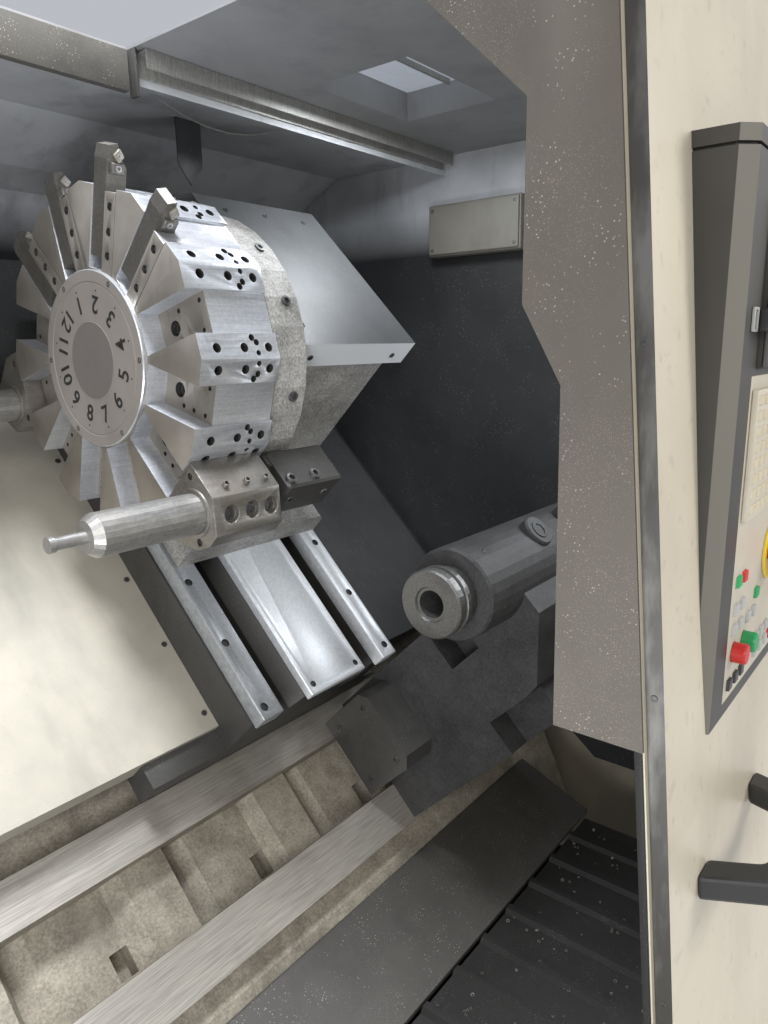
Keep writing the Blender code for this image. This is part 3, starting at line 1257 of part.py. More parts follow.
def build():
    clear_scene()
    slant = empty("slant_frame", (0, SPINDLE_Y, SPINDLE_Z), (SLANT, 0, 0))
    spindle_axis = empty("spindle_axis", (0, SPINDLE_Y, SPINDLE_Z))
    motor_axis = empty("motor_axis", (0, MOTOR_Y, MOTOR_Z))
    turret_axis = empty("turret_axis", (TURRET_X, TURRET_UP, 0), parent=slant)
    bed_casting(slant)
    headstock(slant)
    spindle(spindle_axis)
    chuck(spindle_axis)
    spindle_motor()
    motor_pulley(motor_axis)
    drive_belt()
    feed_screws(slant)
    feed_motors(slant)
    saddle(slant)
    cross_ways(slant)
    way_covers(slant)
    cross_slide(slant)
    turret_housing(slant)
    housing_cover(slant)
    coolant_block(slant)
    turret_disc(turret_axis)
    number_plate(turret_axis)
    for index, degrees in enumerate(TOOL_STATIONS):
        turning_tool(turret_axis, index, degrees)
    for index, degrees in ((1, 180), (2, 300)):
        boring_block(turret_axis, index, degrees)
        boring_bar(turret_axis, index, degrees)
    tailstock(slant)
    left_cover()
    right_cover()
    roof_panel()
    rear_cover()
    rear_guard()
    left_wall(slant)
    right_wall(slant)
    jamb_plate()
    front_apron()
    door_header()
    coolant_tank()
    conveyor_belt()
    door()


build()
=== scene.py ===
# %% [markdown]
# # Dressing a CNC turning lathe
# The solids of the lathe are already packed as a frame: castings, slides, turret, covers and
# door, each a separate piece that moves with its joint. This script gives them the surfaces of
# a machine that works every day: ground ways with a film of oil, sooty castings, grey sheet
# steel speckled with chips, and the cream door skin in the light of the shop.
#
# Everything is in metres. X runs along the spindle towards the tailstock, Y from the operator
# into the machine, and Z up.

# %% Load the frame
import bpy
import json
import random
from math import cos, pi, radians, sin, sqrt, tan, tau
from mathutils import Matrix, Vector

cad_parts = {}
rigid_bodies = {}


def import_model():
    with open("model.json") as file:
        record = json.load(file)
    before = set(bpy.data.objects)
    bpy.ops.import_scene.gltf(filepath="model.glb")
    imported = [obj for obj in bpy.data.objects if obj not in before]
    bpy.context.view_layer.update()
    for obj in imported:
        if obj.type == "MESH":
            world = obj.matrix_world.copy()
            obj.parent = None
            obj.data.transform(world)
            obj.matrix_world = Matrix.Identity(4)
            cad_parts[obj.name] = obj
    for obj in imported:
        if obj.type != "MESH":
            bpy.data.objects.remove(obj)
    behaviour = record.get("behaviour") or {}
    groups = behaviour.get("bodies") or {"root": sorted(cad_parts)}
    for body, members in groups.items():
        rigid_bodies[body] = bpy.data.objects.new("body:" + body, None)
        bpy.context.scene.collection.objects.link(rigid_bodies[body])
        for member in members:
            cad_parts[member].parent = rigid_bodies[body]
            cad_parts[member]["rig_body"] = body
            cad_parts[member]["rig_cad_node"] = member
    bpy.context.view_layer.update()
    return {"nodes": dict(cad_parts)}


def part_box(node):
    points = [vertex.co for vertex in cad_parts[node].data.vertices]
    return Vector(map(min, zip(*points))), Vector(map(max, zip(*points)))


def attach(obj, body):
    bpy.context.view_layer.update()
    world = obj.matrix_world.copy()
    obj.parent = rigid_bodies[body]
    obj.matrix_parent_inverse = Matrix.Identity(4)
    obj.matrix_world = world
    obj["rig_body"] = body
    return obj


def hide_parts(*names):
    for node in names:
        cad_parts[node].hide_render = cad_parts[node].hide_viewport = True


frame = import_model()
nodes = frame["nodes"]

# %% [markdown]
# ## The camera
# The operator leans into the open doorway and looks right, along the bed, at the turret and
# the tailstock. The camera's place and angles were solved from the turret's round face and
# the machine's long straight edges, so a piece placed by its real size lands where it should.

# %% Place the camera
EYE = Vector((0.0, -1.102, 1.576))
YAW = radians(51.2)
PITCH = radians(-12.6)
ROLL = radians(-0.9)
LENS_PIXELS = 740
PHOTO = (768, 1024)

camera_data = bpy.data.cameras.new("doorway_camera")
camera_data.sensor_fit = "VERTICAL"
camera_data.sensor_height = 36
camera_data.lens = LENS_PIXELS / PHOTO[1] * camera_data.sensor_height
camera_data.clip_start = 0.02
camera = bpy.data.objects.new("doorway_camera", camera_data)
bpy.context.scene.collection.objects.link(camera)
tilt = Matrix.Rotation(radians(90) + PITCH, 4, "X") @ Matrix.Rotation(ROLL, 4, "Z")
camera.matrix_world = Matrix.Translation(EYE) @ Matrix.Rotation(-YAW, 4, "Z") @ tilt
bpy.context.scene.camera = camera
print("camera at", tuple(EYE), "lens", round(camera_data.lens, 2), "mm")

# %% [markdown]
# ## Directions on a slant bed
# The bed slopes at 45 degrees, so that chips fall off it. A place on it is easier to say as
# along the spindle, up the slope and off its face than as X, Y and Z, and everything that
# rides on the slope turns with those three directions.

# %% Directions on the machine
ROOT_HALF = sqrt(0.5)
SPINDLE = Vector((0, -0.42, 1.15))
UP_SLANT = Vector((0, ROOT_HALF, ROOT_HALF))
OFF_SLANT = Vector((0, -ROOT_HALF, ROOT_HALF))
ALONG = Vector((1, 0, 0))
FRONT = Vector((0, -1, 0))
BACKWARD = Vector((0, 1, 0))


def on_slant(x, up, off):
    """A place on the slanted bed: along the spindle, up the slope, and off its face."""
    return SPINDLE + ALONG * x + UP_SLANT * up + OFF_SLANT * off


def facing(place, outward, along=ALONG, size=1.0):
    """Where a copy sits, which way its top looks, and how large it is."""
    top = outward.normalized()
    side = (along - top * along.dot(top)).normalized()
    turn = Matrix((side, top.cross(side), top)).transposed().to_4x4()
    sizes = (size, size, size) if isinstance(size, float) else size
    return Matrix.Translation(place) @ turn @ Matrix.Diagonal((*sizes, 1))


# %% [markdown]
# ## Writing shader maths as arithmetic
# A pattern such as speckle or grain is arithmetic on noise. Wiring each Math node by hand
# buries the idea, so a small class wraps a socket and answers to + - * < and >. One method on
# the finish adds every other node: it takes the node's type, its settings and its inputs.

# %% A socket that answers to arithmetic
class Wire:
    def __init__(self, tree, socket):
        self.tree = tree
        self.socket = socket

    def math(self, operation, *values, clamp=False):
        node = self.tree.nodes.new("ShaderNodeMath")
        node.operation = operation
        node.use_clamp = clamp
        for slot, value in zip(node.inputs, values):
            if isinstance(value, Wire):
                self.tree.links.new(value.socket, slot)
            else:
                slot.default_value = value
        return Wire(self.tree, node.outputs[0])

    def __add__(self, other):
        return self.math("ADD", self, other)

    def __sub__(self, other):
        return self.math("SUBTRACT", self, other)

    def __mul__(self, other):
        return self.math("MULTIPLY", self, other)

    def __radd__(self, other):
        return self.math("ADD", other, self)

    def __rsub__(self, other):
        return self.math("SUBTRACT", other, self)

    def __rmul__(self, other):
        return self.math("MULTIPLY", other, self)

    def __gt__(self, other):
        return self.math("GREATER_THAN", self, other)

    def __lt__(self, other):
        return self.math("LESS_THAN", self, other)

    def largest(self, other):
        return self.math("MAXIMUM", self, other)

    def size(self):
        return self.math("ABSOLUTE", self)

    def ramp(self, low, high):
        """0 at low, 1 at high, straight between them."""
        return self.math("MULTIPLY", self - low, 1 / (high - low), clamp=True)


# %% A finish, which makes its own nodes
class Finish:
    def __init__(self, name, roughness=0.5, metallic=0.0):
        self.material = bpy.data.materials.new(name)
        self.material.use_nodes = True
        self.tree = self.material.node_tree
        self.shader = self.tree.nodes["Principled BSDF"]
        self.shader.inputs["Roughness"].default_value = roughness
        self.shader.inputs["Metallic"].default_value = metallic
        self.place = self.node("ShaderNodeTexCoord", output="Object")

    def node(self, kind, settings=(), output=0, **inputs):
        """Adds a node with its settings; inputs go by name, or as i6 where two share one name."""
        node = self.tree.nodes.new(kind)
        for key, value in dict(settings).items():
            setattr(node, key, value)
        for key, value in inputs.items():
            slot = node.inputs[int(key[1:]) if key[1:].isdigit() else key]
            if isinstance(value, Wire):
                self.tree.links.new(value.socket, slot)
            else:
                slot.default_value = value
        return Wire(self.tree, node.outputs[output])

    def axis(self, letter):
        return self.node("ShaderNodeSeparateXYZ", output=letter, Vector=self.place)

    def looks_along(self, letter):
        """How far the face looks along an axis, from -1 to 1."""
        way = self.node("ShaderNodeTexCoord", output="Normal")
        return self.node("ShaderNodeSeparateXYZ", output=letter, Vector=way)

    def stretched(self, scale, turn=(0, 0, 0)):
        """The place on the piece, turned and stretched, for grain that runs one way."""
        return self.node("ShaderNodeMapping", Vector=self.place, Scale=scale, Rotation=turn)

    def noise(self, scale, detail=3.0, roughness=0.5, place=None, distortion=0.0):
        return self.node("ShaderNodeTexNoise", Vector=place or self.place, Scale=scale, Detail=detail,
                         Roughness=roughness, Distortion=distortion)

    def cells(self, scale):
        """How far the place is from the middle of its cell."""
        return self.node("ShaderNodeTexVoronoi", output="Distance", Vector=self.place, Scale=scale)

    def blend(self, amount, low, high):
        """One colour into another by a mask."""
        low = low if isinstance(low, Wire) else (*low, 1)
        high = high if isinstance(high, Wire) else (*high, 1)
        return self.node("ShaderNodeMix", {"data_type": "RGBA"}, output=2, i0=amount, i6=low, i7=high)

    def set(self, socket, value):
        if isinstance(value, Wire):
            self.tree.links.new(value.socket, self.shader.inputs[socket])
        else:
            self.shader.inputs[socket].default_value = value
        return self

    def bump(self, height, strength, distance=0.001):
        self.set("Normal", self.node("ShaderNodeBump", Height=height, Strength=strength, Distance=distance))
        return self


def coat(finish, piece):
    """Gives a piece this finish and no other."""
    piece.data.materials.clear()
    piece.data.materials.append(finish.material)
    return piece


def wear(finish, *names):
    """Gives these solids the finish."""
    for name in names:
        coat(finish, nodes[name])
    print(finish.material.name, "on", ", ".join(names))


# %% [markdown]
# ## Steel and iron, ground and rough
# Ground steel is smooth and pale, with a grain that runs the way the grinding wheel ran, a
# haze of fine scratches, and a brown film where old oil has dried. The film lies on faces
# that nothing slides over, so on the tool disc it covers the front and leaves the rim bright.
# Rough castings keep the skin of the sand mould: pitted, uneven, stained in the hollows. The
# metals keep a little plain colour under the gloss, so that they don't turn black where they
# happen to face the dark.

# %% Ground steel
def ground_steel(name, pale, dark, grain=(1, 60, 60), rough=0.30, film=0.35,
                 film_tone=(0.20, 0.17, 0.135), metallic=0.75):
    made = Finish(name, metallic=metallic)
    lines = made.noise(16, 2, place=made.stretched(grain))
    clouds = made.noise(7, 4, 0.6)
    specks = made.noise(190, 2)
    scratches = made.noise(9, 4, 0.75, made.stretched(tuple(g * 2.2 for g in grain)), 0.2)
    colour = made.blend((lines * 0.6 + specks * 0.4).ramp(0.32, 0.68), dark, pale)
    colour = made.blend(scratches.ramp(0.62, 0.70) * 0.35, colour, tuple(min(1, c * 1.25) for c in pale))
    colour = made.blend(clouds.ramp(0.50, 0.68) * film, colour, film_tone)
    made.set("Base Color", colour)
    made.set("Roughness", rough + lines * 0.16 + clouds.ramp(0.45, 0.75) * 0.2)
    return made.bump(lines + specks * 0.3, 0.10, 0.0004)


BRIGHT_STEEL = ground_steel("bright_steel", (0.62, 0.64, 0.67), (0.44, 0.46, 0.49), rough=0.24, film=0.2)
# The right rail and the plate are painted pale as painted light, and the left rail dark as painted shade;
# all three are one ground steel.
LIT_PLATE_STEEL = ground_steel("lit_plate_steel", (0.90, 0.94, 0.99), (0.70, 0.73, 0.77), (60, 6, 6), 0.30, 0.08,
                           metallic=0.45)
SHADED_RAIL_STEEL = ground_steel("shaded_rail_steel", (0.46, 0.485, 0.515), (0.32, 0.335, 0.36), (60, 6, 6), 0.30, 0.12,
                          metallic=0.55)
BAR_STEEL = ground_steel("bar_steel", (0.46, 0.455, 0.445), (0.30, 0.298, 0.29), (3, 50, 50), 0.26, 0.35)
BLOCK_STEEL = ground_steel("block_steel", (0.285, 0.27, 0.25), (0.175, 0.165, 0.152), rough=0.30, film=0.5)
SCREW_STEEL = ground_steel("screw_steel", (0.16, 0.16, 0.165), (0.07, 0.07, 0.07), (4, 4, 4), 0.38, 0.3,
                           (0.05, 0.045, 0.04))
TOOL_STEEL = ground_steel("tool_steel", (0.25, 0.235, 0.215), (0.14, 0.132, 0.12), rough=0.34, film=0.5,
                          film_tone=(0.09, 0.08, 0.065))
QUILL_STEEL = ground_steel("quill_steel", (0.225, 0.225, 0.222), (0.130, 0.130, 0.128), (2, 30, 30), 0.28,
                           0.5, (0.07, 0.065, 0.06))
CARBIDE = ground_steel("insert_carbide", (0.46, 0.43, 0.38), (0.30, 0.28, 0.24), (4, 4, 4), 0.34, 0.2,
                       metallic=0.4)

# %% The disc's two skins
def disc_steel():
    """Bright on the rim, brown with dried oil on the faces that look along the spindle."""
    made = Finish("disc_steel", metallic=0.70)
    lines = made.noise(16, 2, place=made.stretched((1, 50, 50)))
    clouds = made.noise(6, 4, 0.6)
    specks = made.noise(200, 2)
    runs = made.noise(5, 4, 0.7, made.stretched((1, 3, 0.7)))
    rim = made.blend((lines * 0.6 + specks * 0.4).ramp(0.32, 0.68), (0.46, 0.48, 0.52), (0.66, 0.68, 0.72))
    rim = made.blend(clouds.ramp(0.52, 0.70) * 0.45, rim, (0.26, 0.25, 0.24))
    front = made.blend(clouds.ramp(0.35, 0.65), (0.27, 0.245, 0.215), (0.39, 0.36, 0.325))
    front = made.blend(runs.ramp(0.55, 0.72) * 0.4, front, (0.15, 0.13, 0.11))
    face = made.looks_along("X").size().ramp(0.55, 0.85)
    made.set("Base Color", made.blend(face, rim, front))
    made.set("Roughness", 0.27 + lines * 0.14 + face * 0.13 + clouds.ramp(0.45, 0.75) * 0.12)
    return made.bump(lines + specks * 0.3, 0.10, 0.0004)


DISC_STEEL = disc_steel()

# %% Cast iron with its sand skin
def cast_iron(name, pale, dark, stain=0.6, coarse=1.0, metallic=0.25):
    made = Finish(name, metallic=metallic)
    grit = made.noise(230, 4, 0.7)
    pits = made.cells(150)
    lumps = made.noise(26, 4, 0.6)
    clouds = made.noise(5, 4, 0.55)
    colour = made.blend((grit * 0.7 + lumps * 0.3).ramp(0.38, 0.62), dark, pale)
    colour = made.blend(clouds.ramp(0.48, 0.70) * stain, colour, tuple(c * 0.4 for c in dark))
    colour = made.blend((pits < 0.17) * grit.ramp(0.45, 0.6) * 0.5, colour,
                        tuple(min(1, c * 1.6) for c in pale))
    made.set("Base Color", colour)
    made.set("Roughness", 0.42 + grit * 0.4)
    return made.bump(grit * 0.6 + lumps, 0.5 * coarse, 0.0016)


HOUSING_IRON = cast_iron("housing_iron", (0.50, 0.49, 0.47), (0.20, 0.195, 0.185), 0.45)
TAILSTOCK_IRON = cast_iron("tailstock_iron", (0.100, 0.100, 0.103), (0.050, 0.050, 0.052), 0.5, 0.6, 0.45)
HEAD_IRON = cast_iron("headstock_iron", (0.24, 0.235, 0.22), (0.13, 0.125, 0.12))

# %% The bed: rough casting with two ground ways
def bed_iron():
    """Places on the ways are picked by how far they stand off the slant and which way they look."""
    made = Finish("bed_iron", metallic=0.35)
    off = (made.axis("Z") - made.axis("Y")) * ROOT_HALF - 1.1102
    lies_flat = (made.looks_along("Z") - made.looks_along("Y")) * ROOT_HALF
    ground = (off > -0.530) * (lies_flat > 0.97)
    grit = made.noise(210, 4, 0.7)
    lumps = made.noise(22, 4, 0.6)
    clouds = made.noise(4.5, 5, 0.6)
    drips = made.noise(3, 4, 0.7, made.stretched((4, 1, 1)))
    rough = made.blend((grit * 0.6 + lumps * 0.4).ramp(0.36, 0.64), (0.195, 0.175, 0.140),
                       (0.45, 0.41, 0.335))
    rough = made.blend(clouds.ramp(0.50, 0.70) * 0.7, rough, (0.085, 0.075, 0.06))
    rough = made.blend(drips.ramp(0.58, 0.72) * 0.45, rough, (0.10, 0.115, 0.075))
    lines = made.noise(14, 2, place=made.stretched((1, 45, 45)))
    smooth = made.blend(lines.ramp(0.35, 0.65), (0.38, 0.36, 0.325), (0.56, 0.53, 0.48))
    smooth = made.blend(clouds.ramp(0.48, 0.72) * 0.55, smooth, (0.17, 0.155, 0.13))
    made.set("Base Color", made.blend(ground, rough, smooth))
    made.set("Roughness", 0.62 + grit * 0.2 - ground * 0.36 + lines * ground * 0.12)
    made.set("Metallic", 0.15 + ground * 0.45)
    return made.bump((grit * 0.6 + lumps) * (1 - ground) + lines * ground * 0.05, 0.55, 0.0018)


BED_IRON = bed_iron()

# %% [markdown]
# ## Painted sheet
# The enclosure is painted sheet. Inside it is dark grey under a dust of fine chips that
# gathers on what faces up; the jamb is browner and thick with specks of coolant; outside it
# is cream, rubbed by hands and cloths. Specks are small cells, kept only in patches, because
# chips land in drifts.

# %% Sheets
def painted(name, colour, dirt, speckle=0.3, rough=0.42, metallic=0.0, fleck=(0.50, 0.47, 0.42), cell=190,
            streak=(1, 1, 0.3), lit_lip=None):
    """Sheet paint with dirt, runs and flecks, and a painted highlight on faces that look down the slant."""
    made = Finish(name, metallic=metallic)
    clouds = made.noise(4, 5, 0.6)
    runs = made.noise(8, 4, 0.65, made.stretched(streak))
    orange_peel = made.noise(420, 2)
    flakes = (made.cells(cell) < 0.17) * made.noise(23, 3).ramp(0.47, 0.60)
    dust = (made.cells(cell * 2.3) < 0.2) * made.noise(11, 3).ramp(0.42, 0.62)
    base = made.blend(clouds.ramp(0.38, 0.72) * 0.7, colour, dirt)
    base = made.blend(runs.ramp(0.52, 0.72) * 0.35, base, tuple(c * 0.7 for c in dirt))
    base = made.blend(flakes.largest(dust * 0.6) * speckle, base, fleck)
    # Faces that look down the slant take a paler colour: a painted highlight where light from below catches
    # them.
    if lit_lip:
        lit_lip_faces = (made.looks_along("Y") + made.looks_along("Z")) * -ROOT_HALF
        base = made.blend(lit_lip_faces > 0.7, base, lit_lip)
    made.set("Base Color", base)
    made.set("Roughness", rough + clouds * 0.15 + runs * 0.08)
    return made.bump(orange_peel * 0.25 + flakes, 0.16, 0.0006)


DARK_SHEET = painted("dark_sheet", (0.070, 0.073, 0.077), (0.040, 0.041, 0.043), 0.45, 0.36)
ROOF_SHEET = painted("roof_sheet", (0.345, 0.350, 0.360), (0.215, 0.220, 0.225), 0.15, 0.38, 0.2)
# The housing cover's pale colour on faces that look down the slant is a painted highlight.
COVER_SHEET = painted("housing_cover_sheet", (0.090, 0.094, 0.098), (0.056, 0.058, 0.060), 0.25, 0.34, 0.30,
                      lit_lip=(0.78, 0.81, 0.85))
JAMB_SHEET = painted("jamb_sheet", (0.112, 0.098, 0.082), (0.074, 0.065, 0.054), 0.60, 0.50, 0.0,
                     (0.42, 0.39, 0.34), 230)
CREAM_SKIN = painted("cream_skin", (0.54, 0.49, 0.385), (0.42, 0.38, 0.295), 0.06, 0.36, 0.0,
                     (0.25, 0.22, 0.18), 120, (1, 1, 0.15))
COVER_SKIN = painted("cover_skin", (0.45, 0.42, 0.35), (0.26, 0.25, 0.225), 0.35, 0.42, 0.0,
                     (0.22, 0.20, 0.17), 210, (1, 0.3, 0.3))
DARK_COVER = painted("dark_cover", (0.085, 0.088, 0.092), (0.045, 0.046, 0.048), 0.4, 0.36, 0.3)
BOX_PAINT = painted("box_paint", (0.088, 0.083, 0.072), (0.058, 0.054, 0.047), 0.12, 0.38)
DARK_STEEL = painted("dark_steel", (0.10, 0.098, 0.095), (0.045, 0.043, 0.04), 0.3, 0.36, 0.5)
TANK_SHEET = painted("tank_sheet", (0.070, 0.066, 0.060), (0.035, 0.033, 0.030), 0.6, 0.42)
BELT_STEEL = painted("belt_steel", (0.032, 0.031, 0.030), (0.018, 0.017, 0.016), 0.5, 0.42, 0.3,
                     (0.30, 0.28, 0.25), 240)
MOTOR_PAINT = painted("motor_paint", (0.035, 0.036, 0.04), (0.02, 0.02, 0.022), 0.1, 0.45)
OUTSIDE_TRIM = painted("outside_trim", (0.42, 0.385, 0.32), (0.30, 0.275, 0.225), 0.06, 0.40)
RUBBER = painted("rubber", (0.018, 0.018, 0.018), (0.030, 0.029, 0.027), 0.1, 0.60)
GRIP_BLACK = painted("grip_black", (0.022, 0.022, 0.023), (0.035, 0.034, 0.032), 0.08, 0.30)
# Near black: painted shade inside drilled holes, grooves and slots, and the print of the station figures and
# dots.
SHADE_AND_PRINT_BLACK = painted("hole_shade_and_print_black", (0.020, 0.019, 0.018), (0.010, 0.010, 0.010), 0.2, 0.55)
PLATE_PAINT = painted("plate_paint", (0.270, 0.245, 0.225), (0.205, 0.187, 0.170), 0.08, 0.42, 0.1)
PLATE_CENTRE = painted("plate_centre", (0.165, 0.148, 0.138), (0.135, 0.122, 0.113), 0.05, 0.45, 0.1)

# %% The splash sheet: paler under the roof, which is painted light, and sooty below
def splash_sheet():
    made = Finish("splash_sheet")
    # Above 1.8 m the sheet blends to a pale colour: painted light where the top of the sheets catches the
    # light.
    high = made.axis("Z").ramp(1.80, 1.90)
    clouds = made.noise(4, 5, 0.6)
    runs = made.noise(8, 4, 0.65, made.stretched((1, 1, 0.3)))
    flakes = (made.cells(190) < 0.17) * made.noise(23, 3).ramp(0.47, 0.60)
    lit_upper_band = made.blend(clouds.ramp(0.38, 0.72), (0.600, 0.620, 0.650), (0.430, 0.445, 0.465))
    sooty = made.blend(clouds.ramp(0.38, 0.72), (0.037, 0.038, 0.040), (0.018, 0.019, 0.020))
    base = made.blend(high, sooty, lit_upper_band)
    base = made.blend(runs.ramp(0.52, 0.72) * 0.4, base, (0.04, 0.04, 0.04))
    base = made.blend(flakes * 0.4, base, (0.45, 0.43, 0.38))
    made.set("Base Color", base)
    made.set("Roughness", 0.36 + clouds * 0.15)
    return made.bump(flakes, 0.15, 0.0006)


SPLASH_SHEET = splash_sheet()

# %% Put the finishes on the solids
wear(BED_IRON, "bed_casting")
wear(HEAD_IRON, "headstock_casting")
wear(HOUSING_IRON, "turret_housing", "cross_slide")
wear(TAILSTOCK_IRON, "tailstock_base", "tailstock_body")
# Rails of one steel in two tones: painted shade on the left rail, painted light on the right rail and the
# plate.
wear(SHADED_RAIL_STEEL, "cross_way_left")
wear(LIT_PLATE_STEEL, "cross_way_right", "cross_way_plate")
wear(BRIGHT_STEEL, "spindle", "chuck_body", "jaw_1", "jaw_2", "jaw_3", "z_ball_screw", "x_ball_screw")
wear(QUILL_STEEL, "quill")
wear(BAR_STEEL, "boring_bar_1", "boring_bar_2")
wear(BLOCK_STEEL, "turret_disc", "boring_block_1", "boring_block_2")
wear(TOOL_STEEL, "turning_tool_1", "turning_tool_2", "turning_tool_3", "turning_tool_4")
wear(DARK_STEEL, "saddle", "coolant_block", "motor_pulley", "tailstock_box_cover", "door_header")
wear(PLATE_PAINT, "number_plate")
wear(BELT_STEEL, "conveyor_belt")
wear(SPLASH_SHEET, "rear_guard", "left_wall", "right_wall")
wear(CREAM_SKIN, "front_apron")
wear(ROOF_SHEET, "roof_panel")
wear(TANK_SHEET, "coolant_tank")
wear(COVER_SHEET, "housing_cover")
wear(JAMB_SHEET, "jamb_plate")
wear(CREAM_SKIN, "left_cover", "right_cover", "rear_cover", "door_panel")
wear(COVER_SKIN, "left_way_cover", "left_way_cover_mid")
wear(DARK_COVER, "right_way_cover", "right_way_cover_mid")
wear(BOX_PAINT, "control_box")
wear(MOTOR_PAINT, "spindle_motor", "z_motor", "x_motor")
wear(RUBBER, "drive_belt")
wear(GRIP_BLACK, "door_handle", "e_stop", "start_button", "stop_button", "feed_dial")

# %% Finishes for small pieces
CHANNEL_STEEL = ground_steel("channel_steel", (0.42, 0.42, 0.40), (0.25, 0.25, 0.24), (40, 2, 2), 0.36,
                             0.5, metallic=0.5)
BEAM_PAINT = painted("beam_paint", (0.105, 0.099, 0.088), (0.062, 0.058, 0.051), 0.75, 0.5, 0.0,
                     (0.50, 0.46, 0.38), 230, (1, 1, 1))
JUNCTION_PAINT = painted("junction_paint", (0.21, 0.20, 0.17), (0.125, 0.118, 0.10), 0.25, 0.45, 0.0,
                         (0.15, 0.13, 0.11), 90)
CABLE_SKIN = painted("cable_skin", (0.36, 0.35, 0.32), (0.22, 0.21, 0.19), 0.2, 0.5)
CHIP_STEEL = ground_steel("chip_steel", (0.50, 0.48, 0.44), (0.20, 0.19, 0.17), (5, 5, 5), 0.34, 0.3)
KEY_CREAM = painted("key_cream", (0.56, 0.50, 0.37), (0.44, 0.38, 0.27), 0.05, 0.38)
PANEL_CREAM = painted("panel_cream", (0.52, 0.48, 0.39), (0.42, 0.38, 0.30), 0.05, 0.36)
E_STOP_RED = painted("e_stop_red", (0.55, 0.022, 0.016), (0.36, 0.015, 0.012), 0.05, 0.30)
RING_YELLOW = painted("ring_yellow", (0.72, 0.52, 0.03), (0.50, 0.36, 0.03), 0.10, 0.36)
START_GREEN = painted("start_green", (0.02, 0.32, 0.10), (0.015, 0.20, 0.06), 0.05, 0.30)
KEY_GREY = painted("key_grey", (0.42, 0.42, 0.40), (0.30, 0.30, 0.28), 0.05, 0.38)


def glass(name, tint, rough=0.06, glow=None):
    """Dark glossy glass with a haze of wiped dirt."""
    made = Finish(name, rough)
    haze = made.noise(9, 5, 0.65, made.stretched((1, 1, 0.4)))
    wiped = tuple(min(1, c * 1.8 + 0.02) for c in tint)
    made.set("Base Color", made.blend(haze.ramp(0.45, 0.75) * 0.5, tint, wiped))
    made.set("Roughness", rough + haze.ramp(0.4, 0.8) * 0.25)
    if glow:
        made.set("Emission Color", made.blend(haze.ramp(0.3, 0.7), glow, tuple(g * 0.8 for g in glow)))
        made.set("Emission Strength", 0.25)
    return made


SCREEN_GLASS = glass("screen_glass", (0.012, 0.014, 0.017))
DOOR_GLASS = glass("door_glass", (0.030, 0.036, 0.036), 0.05)
LAMP_GLASS = glass("lamp_glass", (0.46, 0.49, 0.53), 0.35, (0.75, 0.82, 0.95))
wear(DOOR_GLASS, "door_window")
wear(E_STOP_RED, "e_stop", "stop_button")
wear(START_GREEN, "start_button")

# %% The door's skin, with its dark metal edge
def door_skin():
    """Cream on its faces, dark steel on the edge that meets the jamb, paler in streaks beside the handle."""
    made = Finish("door_skin")
    clouds = made.noise(3, 5, 0.6)
    sweeps = made.noise(2.2, 4, 0.7, made.stretched((1, 1, 0.35), (0, radians(35), 0)))
    peel = made.noise(420, 2)
    grime = made.noise(60, 3).ramp(0.60, 0.72)
    skin = made.blend(clouds.ramp(0.35, 0.7), (0.49, 0.44, 0.345), (0.60, 0.545, 0.43))
    skin = made.blend(sweeps.ramp(0.50, 0.68) * 0.45, skin, (0.36, 0.325, 0.26))
    # A patch beside the handle, 0.98 to 1.12 m high, is blended paler along the streaks.
    pale_by_handle = (made.axis("X") < 0.70) * (made.axis("Z") > 0.98) * (made.axis("Z") < 1.12)
    skin = made.blend(pale_by_handle * sweeps.ramp(0.30, 0.6) * 0.5, skin, (0.60, 0.56, 0.47))
    skin = made.blend(grime * 0.18, skin, (0.16, 0.14, 0.11))
    edge = (made.looks_along("X") < -0.9) * 1.0
    scuffs = made.noise(30, 4, 0.6, made.stretched((1, 1, 0.3)))
    metal = made.blend(scuffs.ramp(0.45, 0.65), (0.070, 0.067, 0.062), (0.16, 0.155, 0.145))
    made.set("Base Color", made.blend(edge, skin, metal))
    made.set("Roughness", 0.34 + clouds * 0.14 + edge * 0.06)
    made.set("Metallic", edge * 0.5)
    return made.bump(peel * 0.25 + grime * 0.3, 0.12, 0.0005)


wear(door_skin(), "door_panel")

# %% The control box: dark sides, cream front
def box_skin():
    """The front face carries a cream sheet inside a dark margin; the sides and the cap stay dark."""
    made = Finish("box_skin")
    x, z = made.axis("X"), made.axis("Z")
    front = made.looks_along("Y") < -0.9
    sheet = (x > 0.772) * (x < 1.150) * (z > 1.205) * (z < 1.735)
    surround = (x > 0.747) * (x < 1.140) * (z > 1.543) * (z < 1.706)
    clouds = made.noise(5, 5, 0.6)
    peel = made.noise(420, 2)
    dark = made.blend(clouds.ramp(0.38, 0.72), (0.044, 0.041, 0.035), (0.030, 0.028, 0.024))
    cream = made.blend(clouds.ramp(0.38, 0.72), (0.52, 0.48, 0.39), (0.43, 0.39, 0.31))
    shown = front * sheet * (1 - surround)
    nip = made.looks_along("Y").size().ramp(0.60, 0.68) * (1 - front)
    colour = made.blend(shown, dark, cream)
    colour = made.blend(nip * 0.38, colour, (0.34, 0.32, 0.27))
    made.set("Base Color", colour)
    made.set("Roughness", 0.38 + clouds * 0.15)
    return made.bump(peel * 0.25, 0.12, 0.0005)


wear(box_skin(), "control_box")

# %% [markdown]
# ## Tools for the small parts
# The solids give every casting and cover. What they leave out is what a hand would add last:
# drilled holes, screws, numerals, keys. A screw is modelled once, at a size of one, and each
# copy is set down by a matrix that says where it sits and which way its head looks. A drilled
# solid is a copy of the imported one: it is merged first, because it comes as loose triangles,
# then cut by all its drills at once, and its edges are eased as a file would ease them.

